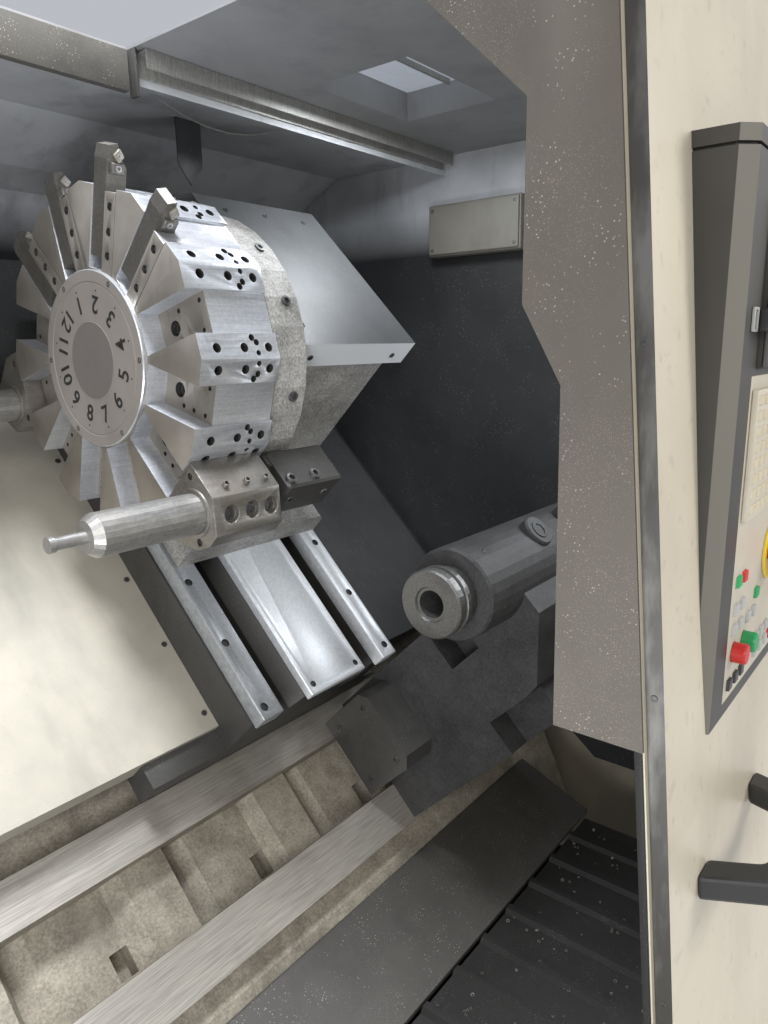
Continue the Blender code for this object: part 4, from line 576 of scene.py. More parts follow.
# %% Taking a piece in hand
def pick(*pieces):
    """Selects only these pieces and works on the first."""
    if bpy.context.mode != "OBJECT":
        bpy.ops.object.mode_set(mode="OBJECT")
    bpy.ops.object.select_all(action="DESELECT")
    for piece in pieces:
        piece.select_set(True)
    bpy.context.view_layer.objects.active = pieces[0]
    return pieces[0]


def pick_faces(piece, wanted):
    """Opens a piece for editing with only the faces that pass the test selected."""
    pick(piece)
    bpy.ops.object.mode_set(mode="EDIT")
    bpy.ops.mesh.select_mode(type="FACE")
    bpy.ops.mesh.select_all(action="DESELECT")
    bpy.ops.object.mode_set(mode="OBJECT")
    for face in piece.data.polygons:
        face.select = wanted(face)
    bpy.ops.object.mode_set(mode="EDIT")


def close_edit():
    bpy.ops.object.mode_set(mode="OBJECT")
    return bpy.context.object


def settle(piece, name=None):
    """Writes the piece's place, turn and size into its mesh."""
    pick(piece)
    bpy.ops.object.transform_apply(location=True, rotation=True, scale=True)
    piece.name = name or piece.name
    piece.data.name = piece.name
    return piece


def set_down(piece, places, name):
    """One joined piece made of a copy at each place; the pattern itself is thrown away."""
    made = []
    for place in places:
        twin = piece.copy()
        twin.data = piece.data.copy()
        bpy.context.scene.collection.objects.link(twin)
        twin.matrix_world = place
        made.append(twin)
    pick(*made)
    if len(made) > 1:
        bpy.ops.object.join()
    bpy.data.objects.remove(piece)
    return settle(made[0], name)


def mount(piece, finish, body):
    """Gives a new piece its finish and hangs it on the body that it moves with."""
    coat(finish, piece)
    print(piece.name, "in", finish.material.name, "on", body)
    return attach(piece, body)


# %% Modifiers, applied at once
def modify(piece, kind, **settings):
    """Adds a modifier with these settings and applies it."""
    pick(piece)
    modifier = piece.modifiers.new(kind.lower(), kind)
    for key, value in settings.items():
        setattr(modifier, key, value)
    bpy.ops.object.modifier_apply(modifier=modifier.name)
    return piece


def carve(piece, cutter):
    """Cuts one piece with another and throws the cutter away; the hole keeps the cutter's colour, a painted
    shade where the cutter is dark.
    """
    modify(piece, "BOOLEAN", operation="DIFFERENCE", solver="EXACT", material_mode="TRANSFER",
           object=cutter)
    bpy.data.objects.remove(cutter)
    return piece


def smooth(piece, degrees=35):
    """Smooth shading over every edge that is blunter than the angle."""
    pick(piece)
    bpy.ops.object.shade_smooth_by_angle(angle=radians(degrees))
    return piece


def ease(piece, width, segments=2, angle=30):
    """A small round on every edge that is sharper than the angle."""
    modify(piece, "BEVEL", width=width, segments=segments, limit_method="ANGLE", angle_limit=radians(angle))
    return smooth(piece)


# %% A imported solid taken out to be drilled
def taken_out(name, finish):
    """A merged copy of a solid, which stands for it from here on."""
    pick(nodes[name])
    bpy.ops.object.duplicate()
    piece = bpy.context.object
    bpy.ops.object.parent_clear(type="CLEAR_KEEP_TRANSFORM")
    body = piece["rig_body"]
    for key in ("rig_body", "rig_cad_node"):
        del piece[key]
    piece.name = piece.data.name = name + "_finished"
    pick_faces(piece, lambda face: True)
    bpy.ops.mesh.remove_doubles(threshold=0.00001)
    bpy.ops.mesh.dissolve_limited(angle_limit=radians(0.6))
    close_edit()
    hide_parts(name)
    mount(piece, finish, body)
    return piece


# %% A drill, a screw and a block, each of size one
def drill(sides=20):
    """A plug that cuts a hole of radius 1, and 1 deep below the face it is set on, painting the hole's
    inside black as shade.
    """
    bpy.ops.mesh.primitive_cylinder_add(vertices=sides, radius=1, depth=2)
    return coat(SHADE_AND_PRINT_BLACK, bpy.context.object)


def cap_screw(height=1.0, socket=0.5):
    """A round head of radius 1 with a six-sided socket, its underside at the origin."""
    bpy.ops.mesh.primitive_cylinder_add(vertices=20, radius=1, depth=height, location=(0, 0, height / 2))
    head = bpy.context.object
    pick_faces(head, lambda face: face.normal.z > 0.9)
    bpy.ops.mesh.bevel(offset=0.1, segments=2, affect="EDGES")
    close_edit()
    above = (0, 0, height * 1.05)
    bpy.ops.mesh.primitive_cylinder_add(vertices=6, radius=socket * 1.15, depth=height, location=above)
    return carve(head, bpy.context.object)


def screws(name, body, finish, places, height=1.0, socket=0.5):
    """Cap screws at these places, riding on one body."""
    return mount(smooth(set_down(cap_screw(height, socket), places, name)), finish, body)


def heads(places, out, radius, height, along=ALONG):
    """Where round heads or holes of one size go, all looking one way."""
    return [facing(Vector(place), out, along, (radius, radius, height)) for place in places]


def cutting_bar(size):
    """A block that cuts a groove or a slot; the black it leaves inside is painted shade."""
    bpy.ops.mesh.primitive_cube_add(size=size)
    return coat(SHADE_AND_PRINT_BLACK, bpy.context.object)


def rounded_block(middle, round_off, segments=2):
    """A block of size one with its edges rounded."""
    bpy.ops.mesh.primitive_cube_add(size=1, location=(0, 0, middle))
    return ease(bpy.context.object, round_off, segments)


def drawn_block(size, middle, draw, round_off):
    """A block whose top is drawn in, with its edges rounded."""
    bpy.ops.mesh.primitive_cube_add(size=size, location=(0, 0, middle))
    block = bpy.context.object
    pick_faces(block, lambda face: face.normal.z > 0.9)
    bpy.ops.transform.resize(value=(*draw, 1))
    close_edit()
    return ease(block, round_off)


# %% [markdown]
# ## The tool disc
# Twelve stations share one disc. Each flat of its rim has bolt holes on both sides of the
# pocket, for whichever holder is hung there, and each pocket has a big screw that ties the
# disc to its coupling. The holes are real holes: every drill is laid out from the station's
# angle, and all are cut at once. Where a tool is clamped, a wedge stands in the pocket with
# three screws, and a fine groove parts it from the disc.

# %% Places about the disc
DISC_FACE = 0.645
DISC_UP = 0.583
DISC_THICK = 0.146
FLAT_RADIUS = 0.263 * cos(pi / 12)
STATIONS = range(0, 360, 30)
TOOL_STATIONS = (0, 30, 60, 90)
OPEN_STATIONS = [d for d in STATIONS if d not in TOOL_STATIONS]
BLOCK_STATIONS = (180, 300)


def outward(degrees):
    return UP_SLANT * cos(radians(degrees)) + OFF_SLANT * sin(radians(degrees))


def sideways(degrees):
    return OFF_SLANT * cos(radians(degrees)) - UP_SLANT * sin(radians(degrees))


def on_disc(depth, radius, degrees, side=0.0):
    """A place by its depth behind the disc's face, its radius, and how far beside the station's line."""
    return on_slant(DISC_FACE + depth, DISC_UP, 0) + outward(degrees) * radius + sideways(degrees) * side


def front_heads(spots, radius, height):
    """Heads or holes that look out of the disc's front, each spot as depth, radius, angle and side."""
    return [facing(on_disc(*spot), -ALONG, outward(spot[2]), (radius, radius, height)) for spot in spots]


def rim_holes(kinds, height):
    """Holes on both sides of each flat of the rim: share of the thickness, side and radius."""
    return [facing(on_disc(share * DISC_THICK, FLAT_RADIUS, d, hand * side), outward(d),
                   size=(radius, radius, height))
            for d in STATIONS for hand in (-1, 1) for share, side, radius in kinds]


# %% Drill the disc
POCKET_DEPTH = 0.034
POCKET_SCREW = 0.170
WEDGE_MIDDLE = 0.0170
WEDGE_SIDE = 0.0310
WEDGE_SCREWS = [(d, reach) for d in TOOL_STATIONS for reach in (0.160, 0.194, 0.229)]
RIM_KINDS = ((0.21, 0.052, 0.0070), (0.55, 0.052, 0.0070), (0.87, 0.052, 0.0070),
             (0.67, 0.0375, 0.0052), (0.72, 0.060, 0.0042))
CLOSE_KINDS = ((0.72, 0.0445, 0.0050),)
POCKET_HOLES = ((0.182, 0.021), (0.206, 0.021), (0.232, 0.021), (0.186, -0.021), (0.236, -0.021))

rim_bores = rim_holes(RIM_KINDS, 0.018)
close_bores = rim_holes(CLOSE_KINDS, 0.016)
front_bores = front_heads([(POCKET_DEPTH, POCKET_SCREW, d, 0) for d in OPEN_STATIONS], 0.0115, 0.014)
front_bores += front_heads([(0, reach, d, WEDGE_MIDDLE) for d, reach in WEDGE_SCREWS], 0.0062, 0.009)
pocket_spots = [(POCKET_DEPTH, reach, d, side) for d in OPEN_STATIONS for reach, side in POCKET_HOLES]
front_bores += front_heads(pocket_spots, 0.0036, 0.012)
disc = taken_out("turret_disc", DISC_STEEL)
for places, sides in ((rim_bores, 16), (close_bores, 14), (front_bores, 16)):
    carve(disc, set_down(drill(sides), places, "drills"))
print(len(rim_bores) + len(close_bores) + len(front_bores), "holes in the disc")

# %% Part the wedges from the disc with a groove
slits = [facing(on_disc(0, 0.200, d, WEDGE_SIDE), -ALONG, outward(d), (0.075, 0.0004, 0.002))
         for d in TOOL_STATIONS]
carve(disc, set_down(cutting_bar(2), slits, "slits"))
ease(disc, 0.0007)
print("disc has", len(disc.data.polygons), "faces")

# %% Screws in the pockets and in the wedges
pocket_heads = front_heads([(POCKET_DEPTH + 0.0125, POCKET_SCREW, d, 0) for d in OPEN_STATIONS], 0.0098,
                           0.010)
screws("pocket_screws", "turret", DARK_STEEL, pocket_heads, 0.9)
wedge_heads = front_heads([(0.0085, reach, d, WEDGE_MIDDLE) for d, reach in WEDGE_SCREWS], 0.0052, 0.007)
screws("wedge_screws", "turret", BRIGHT_STEEL, wedge_heads)

# %% [markdown]
# ## Cutting tips
# A turning tool ends in a carbide insert: a four-sided lozenge about 12 mm along each edge,
# held by a small screw through its middle. The lozenge is a four-sided cylinder squeezed to
# its 80 degree corners, and its seat is a shallow clamp block behind it.

# %% The insert, its seat and its screw
TOOL_SIDE = 0.00125
TOOL_MIDDLE = 0.0177
TIP_RADII = (0.290, 0.286, 0.302, 0.284)


def on_flank(depth, reach, angle, rise, size):
    """A place on a tool's flank, by its depth, its radius, the station and how far it stands off."""
    return facing(on_disc(depth, reach, angle, TOOL_SIDE + rise), sideways(angle), outward(angle), size)


insert_places = []
clamp_places = []
tip_screws = []
for angle, tip in zip(TOOL_STATIONS, TIP_RADII):
    insert_places.append(on_flank(TOOL_MIDDLE + 0.001, tip - 0.004, angle, 0.0026, (0.0100, 0.0082, 0.0024)))
    clamp_places.append(on_flank(TOOL_MIDDLE, tip - 0.021, angle, 0.0030, (0.0085, 0.0115, 0.0031)))
    tip_screws.append(on_flank(TOOL_MIDDLE + 0.001, tip - 0.004, angle, 0.0046, 0.0030))
    tip_screws.append(on_flank(TOOL_MIDDLE, tip - 0.021, angle, 0.0055, (0.0045, 0.0045, 0.0035)))

bpy.ops.mesh.primitive_cylinder_add(vertices=4, radius=1, depth=2)
lozenge = ease(bpy.context.object, 0.12, 3, 60)
mount(set_down(lozenge, insert_places, "cutting_inserts"), CARBIDE, "turret")
mount(set_down(drawn_block(2, 0, (0.72, 0.78), 0.1), clamp_places, "insert_clamps"), BLOCK_STEEL, "turret")
screws("tip_screws", "turret", BRIGHT_STEEL, tip_screws)

# %% [markdown]
# ## The number plate
# A turned cover closes the disc's centre. Its face steps down inside a narrow rim, six small
# screws hold it, and a number for each station is painted round a darker middle, the tops of
# the figures towards the centre. It is spun from a profile, as it would be turned, and each
# figure is a text made solid and set down at its station's angle.

# %% Spin the plate
PLATE_RADIUS = 0.136
CENTRE_RADIUS = 0.0588


def from_points(name, points, edges=(), faces=()):
    """A new mesh drawn point by point, open for editing with all of it selected."""
    mesh = bpy.data.meshes.new(name)
    mesh.from_pydata([tuple(p) for p in points], edges, faces)
    piece = bpy.data.objects.new(name, mesh)
    bpy.context.scene.collection.objects.link(piece)
    pick(piece)
    bpy.ops.object.mode_set(mode="EDIT")
    bpy.ops.mesh.select_all(action="SELECT")
    return piece


def spin_profile(name, profile, place):
    """Turns a profile of (radius, height) pairs about its own height, then sets it down."""
    piece = from_points(name, [(r, 0, h) for r, h in profile],
                        [(i, i + 1) for i in range(len(profile) - 1)])
    bpy.ops.mesh.spin(steps=64, angle=tau, center=(0, 0, 0), axis=(0, 0, 1))
    bpy.ops.mesh.select_all(action="SELECT")
    bpy.ops.mesh.remove_doubles(threshold=0.00002)
    bpy.ops.mesh.normals_make_consistent(inside=False)
    close_edit()
    smooth(piece, 30)
    piece.matrix_world = place
    return settle(piece, name)


rim = PLATE_RADIUS
plate_profile = [(0, -0.0002), (rim, -0.0002), (rim, 0.0046), (rim - 0.0016, 0.0062),
                  (rim - 0.0170, 0.0062),
                 (rim - 0.0180, 0.0054), (rim - 0.0190, 0.0054), (rim - 0.0200, 0.0060),
                 (CENTRE_RADIUS + 0.0002, 0.0060), (CENTRE_RADIUS - 0.0004, 0.0066), (0, 0.0066)]
plate_centre = on_disc(0, 0, 0)
plate = spin_profile("number_plate_face", plate_profile, facing(plate_centre, -ALONG, UP_SLANT))
for finish in (PLATE_PAINT, PLATE_CENTRE, BRIGHT_STEEL):
    plate.data.materials.append(finish.material)
for face in plate.data.polygons:
    apart = face.center - plate_centre
    reach = (apart - ALONG * apart.dot(ALONG)).length
    face.material_index = 1 if reach < CENTRE_RADIUS else 2 if reach > rim - 0.0010 else 0
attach(plate, "turret")
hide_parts("number_plate")
plate_heads = front_heads([(-0.0056, rim - 0.0090, d, 0) for d in range(15, 375, 60)], 0.0042, 0.0020)
screws("plate_screws", "turret", SCREW_STEEL, plate_heads)

# %% Paint the figures
FIGURE_RADIUS = 0.0870
FIGURE_HIGH = 0.0370
DOT_RADIUS = 0.1065
figures = []
for number in range(1, 13):
    bpy.ops.object.text_add()
    figure = bpy.context.object
    figure.data.body = str(number)
    figure.data.align_x = "CENTER"
    figure.data.align_y = "CENTER"
    figure.data.size = FIGURE_HIGH
    figure.data.offset = 0.0006
    figure.data.extrude = 0.0002
    bpy.ops.object.convert(target="MESH")
    angle = 30 * number
    figure.matrix_world = facing(on_disc(-0.0061, FIGURE_RADIUS, angle), -ALONG, -sideways(angle))
    figures.append(figure)
pick(*figures)
bpy.ops.object.join()
mount(settle(figures[0], "station_numbers"), SHADE_AND_PRINT_BLACK, "turret")
dots = front_heads([(-0.0062, DOT_RADIUS, d, 0) for d in STATIONS], 0.0014, 0.0003)
screws("station_dots", "turret", SHADE_AND_PRINT_BLACK, dots)

# %% [markdown]
# ## Boring blocks
# Each block is bolted to a flat of the disc and holds a bar along the spindle. Three long
# clamp screws stand out of its side over the lock holes, and small screws close its coolant
# channels at the front. Grub screws sit deep in the lock holes, square to the block's slope.

# %% Ease the blocks and fit their screws
BLOCK_FRONT = 0.003
FRONT_HOLES = ((0.272, 0.066), (0.268, -0.034), (0.345, 0.026))
CLAMP_STEPS = (0.032, 0.072, 0.109)
LOCK_LOW = Vector((0.322, -0.050))
LOCK_HIGH = Vector((0.364, -0.012))
lock_middle = (LOCK_LOW + LOCK_HIGH) / 2
lock_slope = LOCK_HIGH - LOCK_LOW
lock_grubs = []
for number, angle in enumerate(BLOCK_STATIONS, 1):
    block = taken_out(f"boring_block_{number}", BLOCK_STEEL)
    holes = front_heads([(BLOCK_FRONT, reach, angle, side) for reach, side in FRONT_HOLES], 0.0055, 0.006)
    carve(block, set_down(drill(16), holes, "drills"))
    ease(block, 0.0012)
    plugs = front_heads([(BLOCK_FRONT + 0.0055, reach, angle, side) for reach, side in FRONT_HOLES],
                        0.0046, 0.0048)
    screws(f"block_screws_{number}", "turret", SCREW_STEEL, plugs)
    feet = [on_disc(BLOCK_FRONT + x, 0.305, angle, -0.0500) for x in CLAMP_STEPS]
    screws(f"clamp_screws_{number}", "turret", BLOCK_STEEL, heads(feet, -sideways(angle), 0.0052, 0.0160),
           socket=0.6)
    square = (outward(angle) * lock_slope.y - sideways(angle) * lock_slope.x).normalized()
    feet = [on_disc(BLOCK_FRONT + x, lock_middle.x, angle, lock_middle.y) - square * 0.0088
            for x in CLAMP_STEPS]
    lock_grubs += heads(feet, square, 0.0095, 0.0050)
screws("lock_grubs", "turret", SCREW_STEEL, lock_grubs, socket=0.55)

# %% [markdown]
# ## Housing, rails and covers
# Behind the disc the housing is bolted to the cross slide and capped with a folded sheet. The
# slide's rails are strips of ground steel, screwed down through counterbored holes, with a
# wide polished plate between them. The left rail carries painted shade, and the right rail and
# the plate carry painted light. Every counterbore is cut before its screw goes in.

# %% Counterbored rails
RAIL_FACE = -0.300
RAIL_PITCH = 0.136


def counterbored(node, places, radius, deep, finish):
    """Drills a solid at these places on the slant and puts a screw in every hole."""
    piece = taken_out(node, finish)
    carve(piece, set_down(drill(20), heads(places, OFF_SLANT, radius, deep), "drills"))
    ease(piece, 0.0006)
    seats = [place - OFF_SLANT * (deep - 0.0005) for place in places]
    screws(node + "_screws", "carriage", SCREW_STEEL, heads(seats, OFF_SLANT, radius * 0.80, deep * 0.7))


# The two finishes here are painted shade on the left rail and painted light on the right one.
for node, x, first, finish in (("cross_way_left", 0.797, 0.033, SHADED_RAIL_STEEL),
                               ("cross_way_right", 1.138, 0.036, LIT_PLATE_STEEL)):
    rail_places = [on_slant(x, first + RAIL_PITCH * i, RAIL_FACE) for i in range(6)]
    counterbored(node, rail_places, 0.0075, 0.006, finish)
plate_places = [on_slant(x, up, RAIL_FACE) for x in (0.918, 1.039) for up in (0.030, 0.890)]
counterbored("cross_way_plate", plate_places, 0.0060, 0.005, LIT_PLATE_STEEL)

# %% Screws of the way covers, the housing and the coolant block
for name, x in (("way_cover_screws", 0.764), ("far_cover_screws", 1.176)):
    row = [on_slant(x, 0.097 + 0.153 * i, -0.4200) for i in range(6)]
    screws(name, "carriage", DARK_STEEL, heads(row, OFF_SLANT, 0.0055, 0.0035))
ring_heads = [facing(on_disc(0.200, 0.2400, d), outward(d), ALONG, (0.0085, 0.0085, 0.0050))
              for d in (58, 90, 114, 150, 185)]
screws("housing_ring_bolts", "cross_slide", SCREW_STEEL, ring_heads)
TOP_SPOTS = ((0.925, 0.765), (1.020, 0.765), (1.120, 0.765), (0.900, 0.600), (0.900, 0.475))
on_top = [on_slant(x, up, 0.1800) for x, up in TOP_SPOTS]
on_lip = [on_slant(x, 0.4300, 0.150) for x in (0.905, 1.125)]
sheet_heads = heads(on_top, OFF_SLANT, 0.0055, 0.0040) + heads(on_lip, -UP_SLANT, 0.0055, 0.0040)
screws("housing_cover_screws", "cross_slide", SCREW_STEEL, sheet_heads)
coolant_heads = heads([on_slant(x, 0.273, 0.0400) for x in (0.816, 0.870)], OFF_SLANT, 0.0095, 0.0120)
coolant_heads += heads([on_slant(x, 0.2585, 0.005) for x in (0.825, 0.905)], -UP_SLANT, 0.0070, 0.0060)
screws("coolant_block_screws", "cross_slide", SCREW_STEEL, coolant_heads)

# %% [markdown]
# ## Tailstock
# The tailstock is one dark casting. Its two oil caps have a six-sided socket, the clamp cover
# in front has a screw in each corner, and three grub screws are let into the nose.

# %% Caps, clamp cover and nose screws
cap_plugs = heads([on_slant(x, 0.020, 0.0918) for x in (1.26, 1.40)], OFF_SLANT, 0.0190, 0.0050)
screws("oil_cap_plugs", "tailstock", TAILSTOCK_IRON, cap_plugs, socket=0.6)
corners = [on_slant(1.0570, up, off) for off in (-0.375, -0.470) for up in (-0.168, -0.047)]
screws("clamp_cover_screws", "tailstock", SCREW_STEEL, heads(corners, -ALONG, 0.0065, 0.0050, UP_SLANT))
nose = on_slant(1.075, 0, 0)
nose_grubs = [facing(nose + outward(d) * 0.0843, outward(d), ALONG, (0.0060, 0.0060, 0.0030))
              for d in (70, 150, 230)]
screws("nose_screws", "tailstock", SCREW_STEEL, nose_grubs)

# %% [markdown]
# ## Under the roof
# A bright channel runs along the roof behind the loading opening, with a pointed plate that
# marks the limit of the slide's travel hanging behind it, a thin sensor cable looped up to
# the roof, and a lamp let into the sheet. A junction box sits high on the far wall.

# %% Boxes from their corners, sheets from their outline
def cut_box(name, low, high, finish, body, round_off=0.001, segments=2):
    """A block between two corners with its edges eased."""
    middle = (Vector(low) + Vector(high)) / 2
    bpy.ops.mesh.primitive_cube_add(size=1, location=middle, scale=Vector(high) - Vector(low))
    return mount(ease(settle(bpy.context.object, name), round_off, segments), finish, body)


def folded(name, outline, start, reach, finish, body, ease_by=0.0006):
    """A flat outline given as points, drawn out along one direction into a solid."""
    piece = from_points(name, outline, faces=[list(range(len(outline)))])
    bpy.ops.mesh.extrude_region_move(TRANSFORM_OT_translate={"value": tuple(reach)})
    bpy.ops.mesh.select_all(action="SELECT")
    bpy.ops.mesh.normals_make_consistent(inside=False)
    close_edit()
    piece.location = start
    settle(piece, name)
    if ease_by:
        ease(piece, ease_by)
    return mount(piece, finish, body)


# %% Channel, beam and pointed plate
ROOF_UNDER = 2.0254
channel = [(0, 0, 0), (0, -0.030, 0), (0, -0.030, -0.028), (0, -0.027, -0.028),
           (0, -0.027, -0.003), (0, -0.003, -0.003), (0, -0.003, -0.034), (0, 0, -0.034)]
folded("roof_channel", channel, (0.757, -0.012, ROOF_UNDER), (0.845, 0, 0), CHANNEL_STEEL, "machine")
beam = [(0, 0, 0), (0, -0.0035, 0), (0, -0.0035, -0.058), (0, 0.012, -0.058), (0, 0.012, -0.0555),
         (0, 0, -0.0555)]
folded("opening_beam", beam, (-0.575, -0.0108, ROOF_UNDER), (1.318, 0, 0), BEAM_PAINT, "machine")
cut_box("beam_bracket", (0.7445, -0.030, 1.958), (0.7505, -0.0110, ROOF_UNDER), DARK_STEEL, "machine",
        0.0008)
pointed = [(-0.030, 0, 0), (0.030, 0, 0), (0.030, 0, -0.085), (0, 0, -0.123), (-0.030, 0, -0.085)]
folded("limit_plate", pointed, (1.016, 0.200, 2.0222), (0, 0.003, 0), DARK_SHEET, "machine")
screws("limit_plate_screw", "machine", SCREW_STEEL, heads([(1.016, 0.1998, 1.968)], FRONT, 0.005, 0.002))

# %% The lamp in the roof
cut_box("lamp_lens", (1.053, -0.317, 2.078), (1.327, -0.113, 2.0855), LAMP_GLASS, "machine", 0.0015)
rail = [(0, 0, 0), (0, 0.004, 0), (0, 0.004, -0.010), (0, 0, -0.010)]
folded("lamp_rail", rail, (1.054, -0.226, 2.0775), (0.26, 0, 0), CHANNEL_STEEL, "machine", ease_by=0)

# %% The junction box and its lid
cut_box("junction_box", (1.582, -0.240, 1.790), (1.6193, 0.014, 1.909), JUNCTION_PAINT, "machine", 0.003, 3)
cut_box("junction_lid", (1.577, -0.236, 1.794), (1.5817, 0.010, 1.905), JUNCTION_PAINT, "machine", 0.002, 3)
lid_corners = [(1.5772, y, z) for y in (-0.226, 0.000) for z in (1.804, 1.895)]
screws("junction_lid_screws", "machine", SCREW_STEEL, heads(lid_corners, -ALONG, 0.0040, 0.0022, UP_SLANT))

# %% [markdown]
# The cable is 2.5 mm thick and about 0.32 m of it hangs free: it comes out of the roof sheet,
# sags by its own weight and goes back into the sheet further along.

# %% The sensor cable
CABLE_Y = 0.120
CABLE_ENDS = (0.877, 1.185)
CABLE_SAG = 0.032
CABLE_TOP = 2.0221


def sagging(t):
    """A point of the cable, with t running from 0 at one end to 1 at the other."""
    x = CABLE_ENDS[0] + (CABLE_ENDS[1] - CABLE_ENDS[0]) * t
    return Vector((x, CABLE_Y, CABLE_TOP - CABLE_SAG * 4 * t * (1 - t)))


cable_points = [sagging(i / 20) for i in range(21)]
curve = bpy.data.curves.new("sensor_cable", "CURVE")
curve.dimensions = "3D"
curve.bevel_depth = 0.00125
curve.bevel_resolution = 3
spline = curve.splines.new("POLY")
spline.points.add(len(cable_points) - 1)
for point, place in zip(spline.points, cable_points):
    point.co = (*place, 1)
cable = bpy.data.objects.new("sensor_cable", curve)
bpy.context.scene.collection.objects.link(cable)
mount(cable, CABLE_SKIN, "machine")

# %% [markdown]
# ## Chips
# Fine curled chips lie on the conveyor and in the tank's corners. One curl is modelled, a
# short ribbon wound round, and thrown down a few hundred times at seeded places.

# %% Throw the chips
def chip():
    """A ribbon of about one turn, 1 across."""
    bpy.ops.mesh.primitive_circle_add(vertices=9, radius=0.5)
    ribbon = pick(bpy.context.object)
    bpy.ops.object.mode_set(mode="EDIT")
    bpy.ops.mesh.select_mode(type="EDGE")
    bpy.ops.mesh.select_all(action="SELECT")
    bpy.ops.mesh.extrude_region_move(TRANSFORM_OT_translate={"value": (0.12, 0, 0.35)})
    close_edit()
    return modify(ribbon, "SOLIDIFY", thickness=0.10)


CHIP_FLOOR = 0.4202
CHIP_COUNT = 420
dice = random.Random(7)
chip_places = []
for i in range(CHIP_COUNT):
    x = dice.uniform(-0.50, 1.55)
    y = dice.uniform(-0.83, -0.47)
    turn = Matrix.Rotation(dice.uniform(0, tau), 4, "Z") @ Matrix.Rotation(dice.uniform(-0.5, 0.5), 4, "X")
    size = dice.uniform(0.003, 0.007)
    chip_places.append(Matrix.Translation((x, y, CHIP_FLOOR + size * 0.10)) @ turn @ Matrix.Scale(size, 4))
mount(set_down(chip(), chip_places, "chips"), CHIP_STEEL, "machine")

# %% [markdown]
# ## Door, seal and control box
# The door leans with the machine's front. Its edge is a dark metal strip held by screws, and
# a rubber seal stands between it and the jamb. The control box is upright, with a screen, a
# keyboard in blocks of small keys, a card slot, lit push keys, the red stop with its yellow
# ring, and a dial with marks round it.

# %% Places on the leaning front
LEAN = radians(5.2)
DOOR_OUT = Vector((0, -cos(LEAN), sin(LEAN)))
DOOR_UP = Vector((0, sin(LEAN), cos(LEAN)))


def on_skin(x, z, proud=0.0):
    """A place on the door's outer skin, at its height."""
    return Vector((x, -0.931 + (z - 1.15) * tan(LEAN), z)) + DOOR_OUT * proud


def lean_place(x, z, proud=0.0, size=1.0):
    return facing(on_skin(x, z, proud), DOOR_OUT, ALONG, size)


# %% The seal and the edge screws
seal_path = [(0, 0, 0), (-0.0060, 0, 0), (-0.0060, 0.0040, 0), (-0.0045, 0.0100, 0), (0, 0.0100, 0)]
seal_low, seal_high = [on_skin(0.6095, z) + BACKWARD * 0.0168 for z in (0.575, 1.972)]
folded("jamb_seal", seal_path, seal_low, seal_high - seal_low, RUBBER, "machine", ease_by=0.001)
edge_spots = [on_skin(0.6101, z) + BACKWARD * 0.0085 for z in (0.663, 0.967, 1.272, 1.577, 1.880)]
screws("door_edge_screws", "door", SCREW_STEEL, heads(edge_spots, -ALONG, 0.0032, 0.0012, DOOR_UP))

# %% The window's gasket
def frame_piece(name, width, height, band, thick, place, finish, body):
    """A flat frame: a plane, its middle inset and cut away, given a thickness and rounded."""
    bpy.ops.mesh.primitive_plane_add(size=1)
    piece = bpy.context.object
    piece.scale = (width, height, 1)
    settle(piece)
    pick_faces(piece, lambda face: True)
    bpy.ops.mesh.inset(thickness=band)
    bpy.ops.mesh.delete(type="FACE")
    close_edit()
    modify(piece, "SOLIDIFY", thickness=thick, offset=1)
    ease(piece, min(band, thick) * 0.3)
    piece.matrix_world = place
    return mount(settle(piece, name), finish, body)


GASKET_LAP = 0.036
window_low, window_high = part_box("door_window")
middle = (window_low + window_high) / 2
wide = window_high.x - window_low.x + GASKET_LAP
tall = (window_high.z - window_low.z) / cos(LEAN) + GASKET_LAP
frame_piece("window_gasket", wide, tall, 0.022, 0.004, lean_place(middle.x, middle.z), RUBBER, "door")

# %% The screen and the keyboard
BOX_FACE = -0.9302
RELIEF_FACE = -0.9342
KEY_FACE = -0.9360


def key_cap():
    """A key of size one."""
    return drawn_block(1, 0.5, (0.86, 0.86), 0.06)


cut_box("screen_glass", (0.800, RELIEF_FACE - 0.0012, 1.562), (1.115, RELIEF_FACE - 0.0002, 1.694),
        SCREEN_GLASS, "door", 0.0004)
bezel_place = facing(Vector((0.9565, RELIEF_FACE, 1.627)), FRONT)
frame_piece("screen_bezel", 0.337, 0.152, 0.012, 0.0035, bezel_place, DARK_STEEL, "door")
cut_box("keyboard_plate", (0.780, -0.9358, 1.400), (1.135, -0.9303, 1.530), PANEL_CREAM, "door", 0.0008)
key_places = []
for row in range(8):
    for column in range(17):
        if column in (6, 12) or (row in (2, 5) and column > 12):
            continue
        place = Vector((0.793 + column * 0.0205, KEY_FACE, 1.520 - row * 0.0155))
        key_places.append(facing(place, FRONT, ALONG, (0.0165, 0.0100, 0.0034)))
mount(set_down(key_cap(), key_places, "keyboard_keys"), KEY_CREAM, "door")
print(len(key_places), "keys")

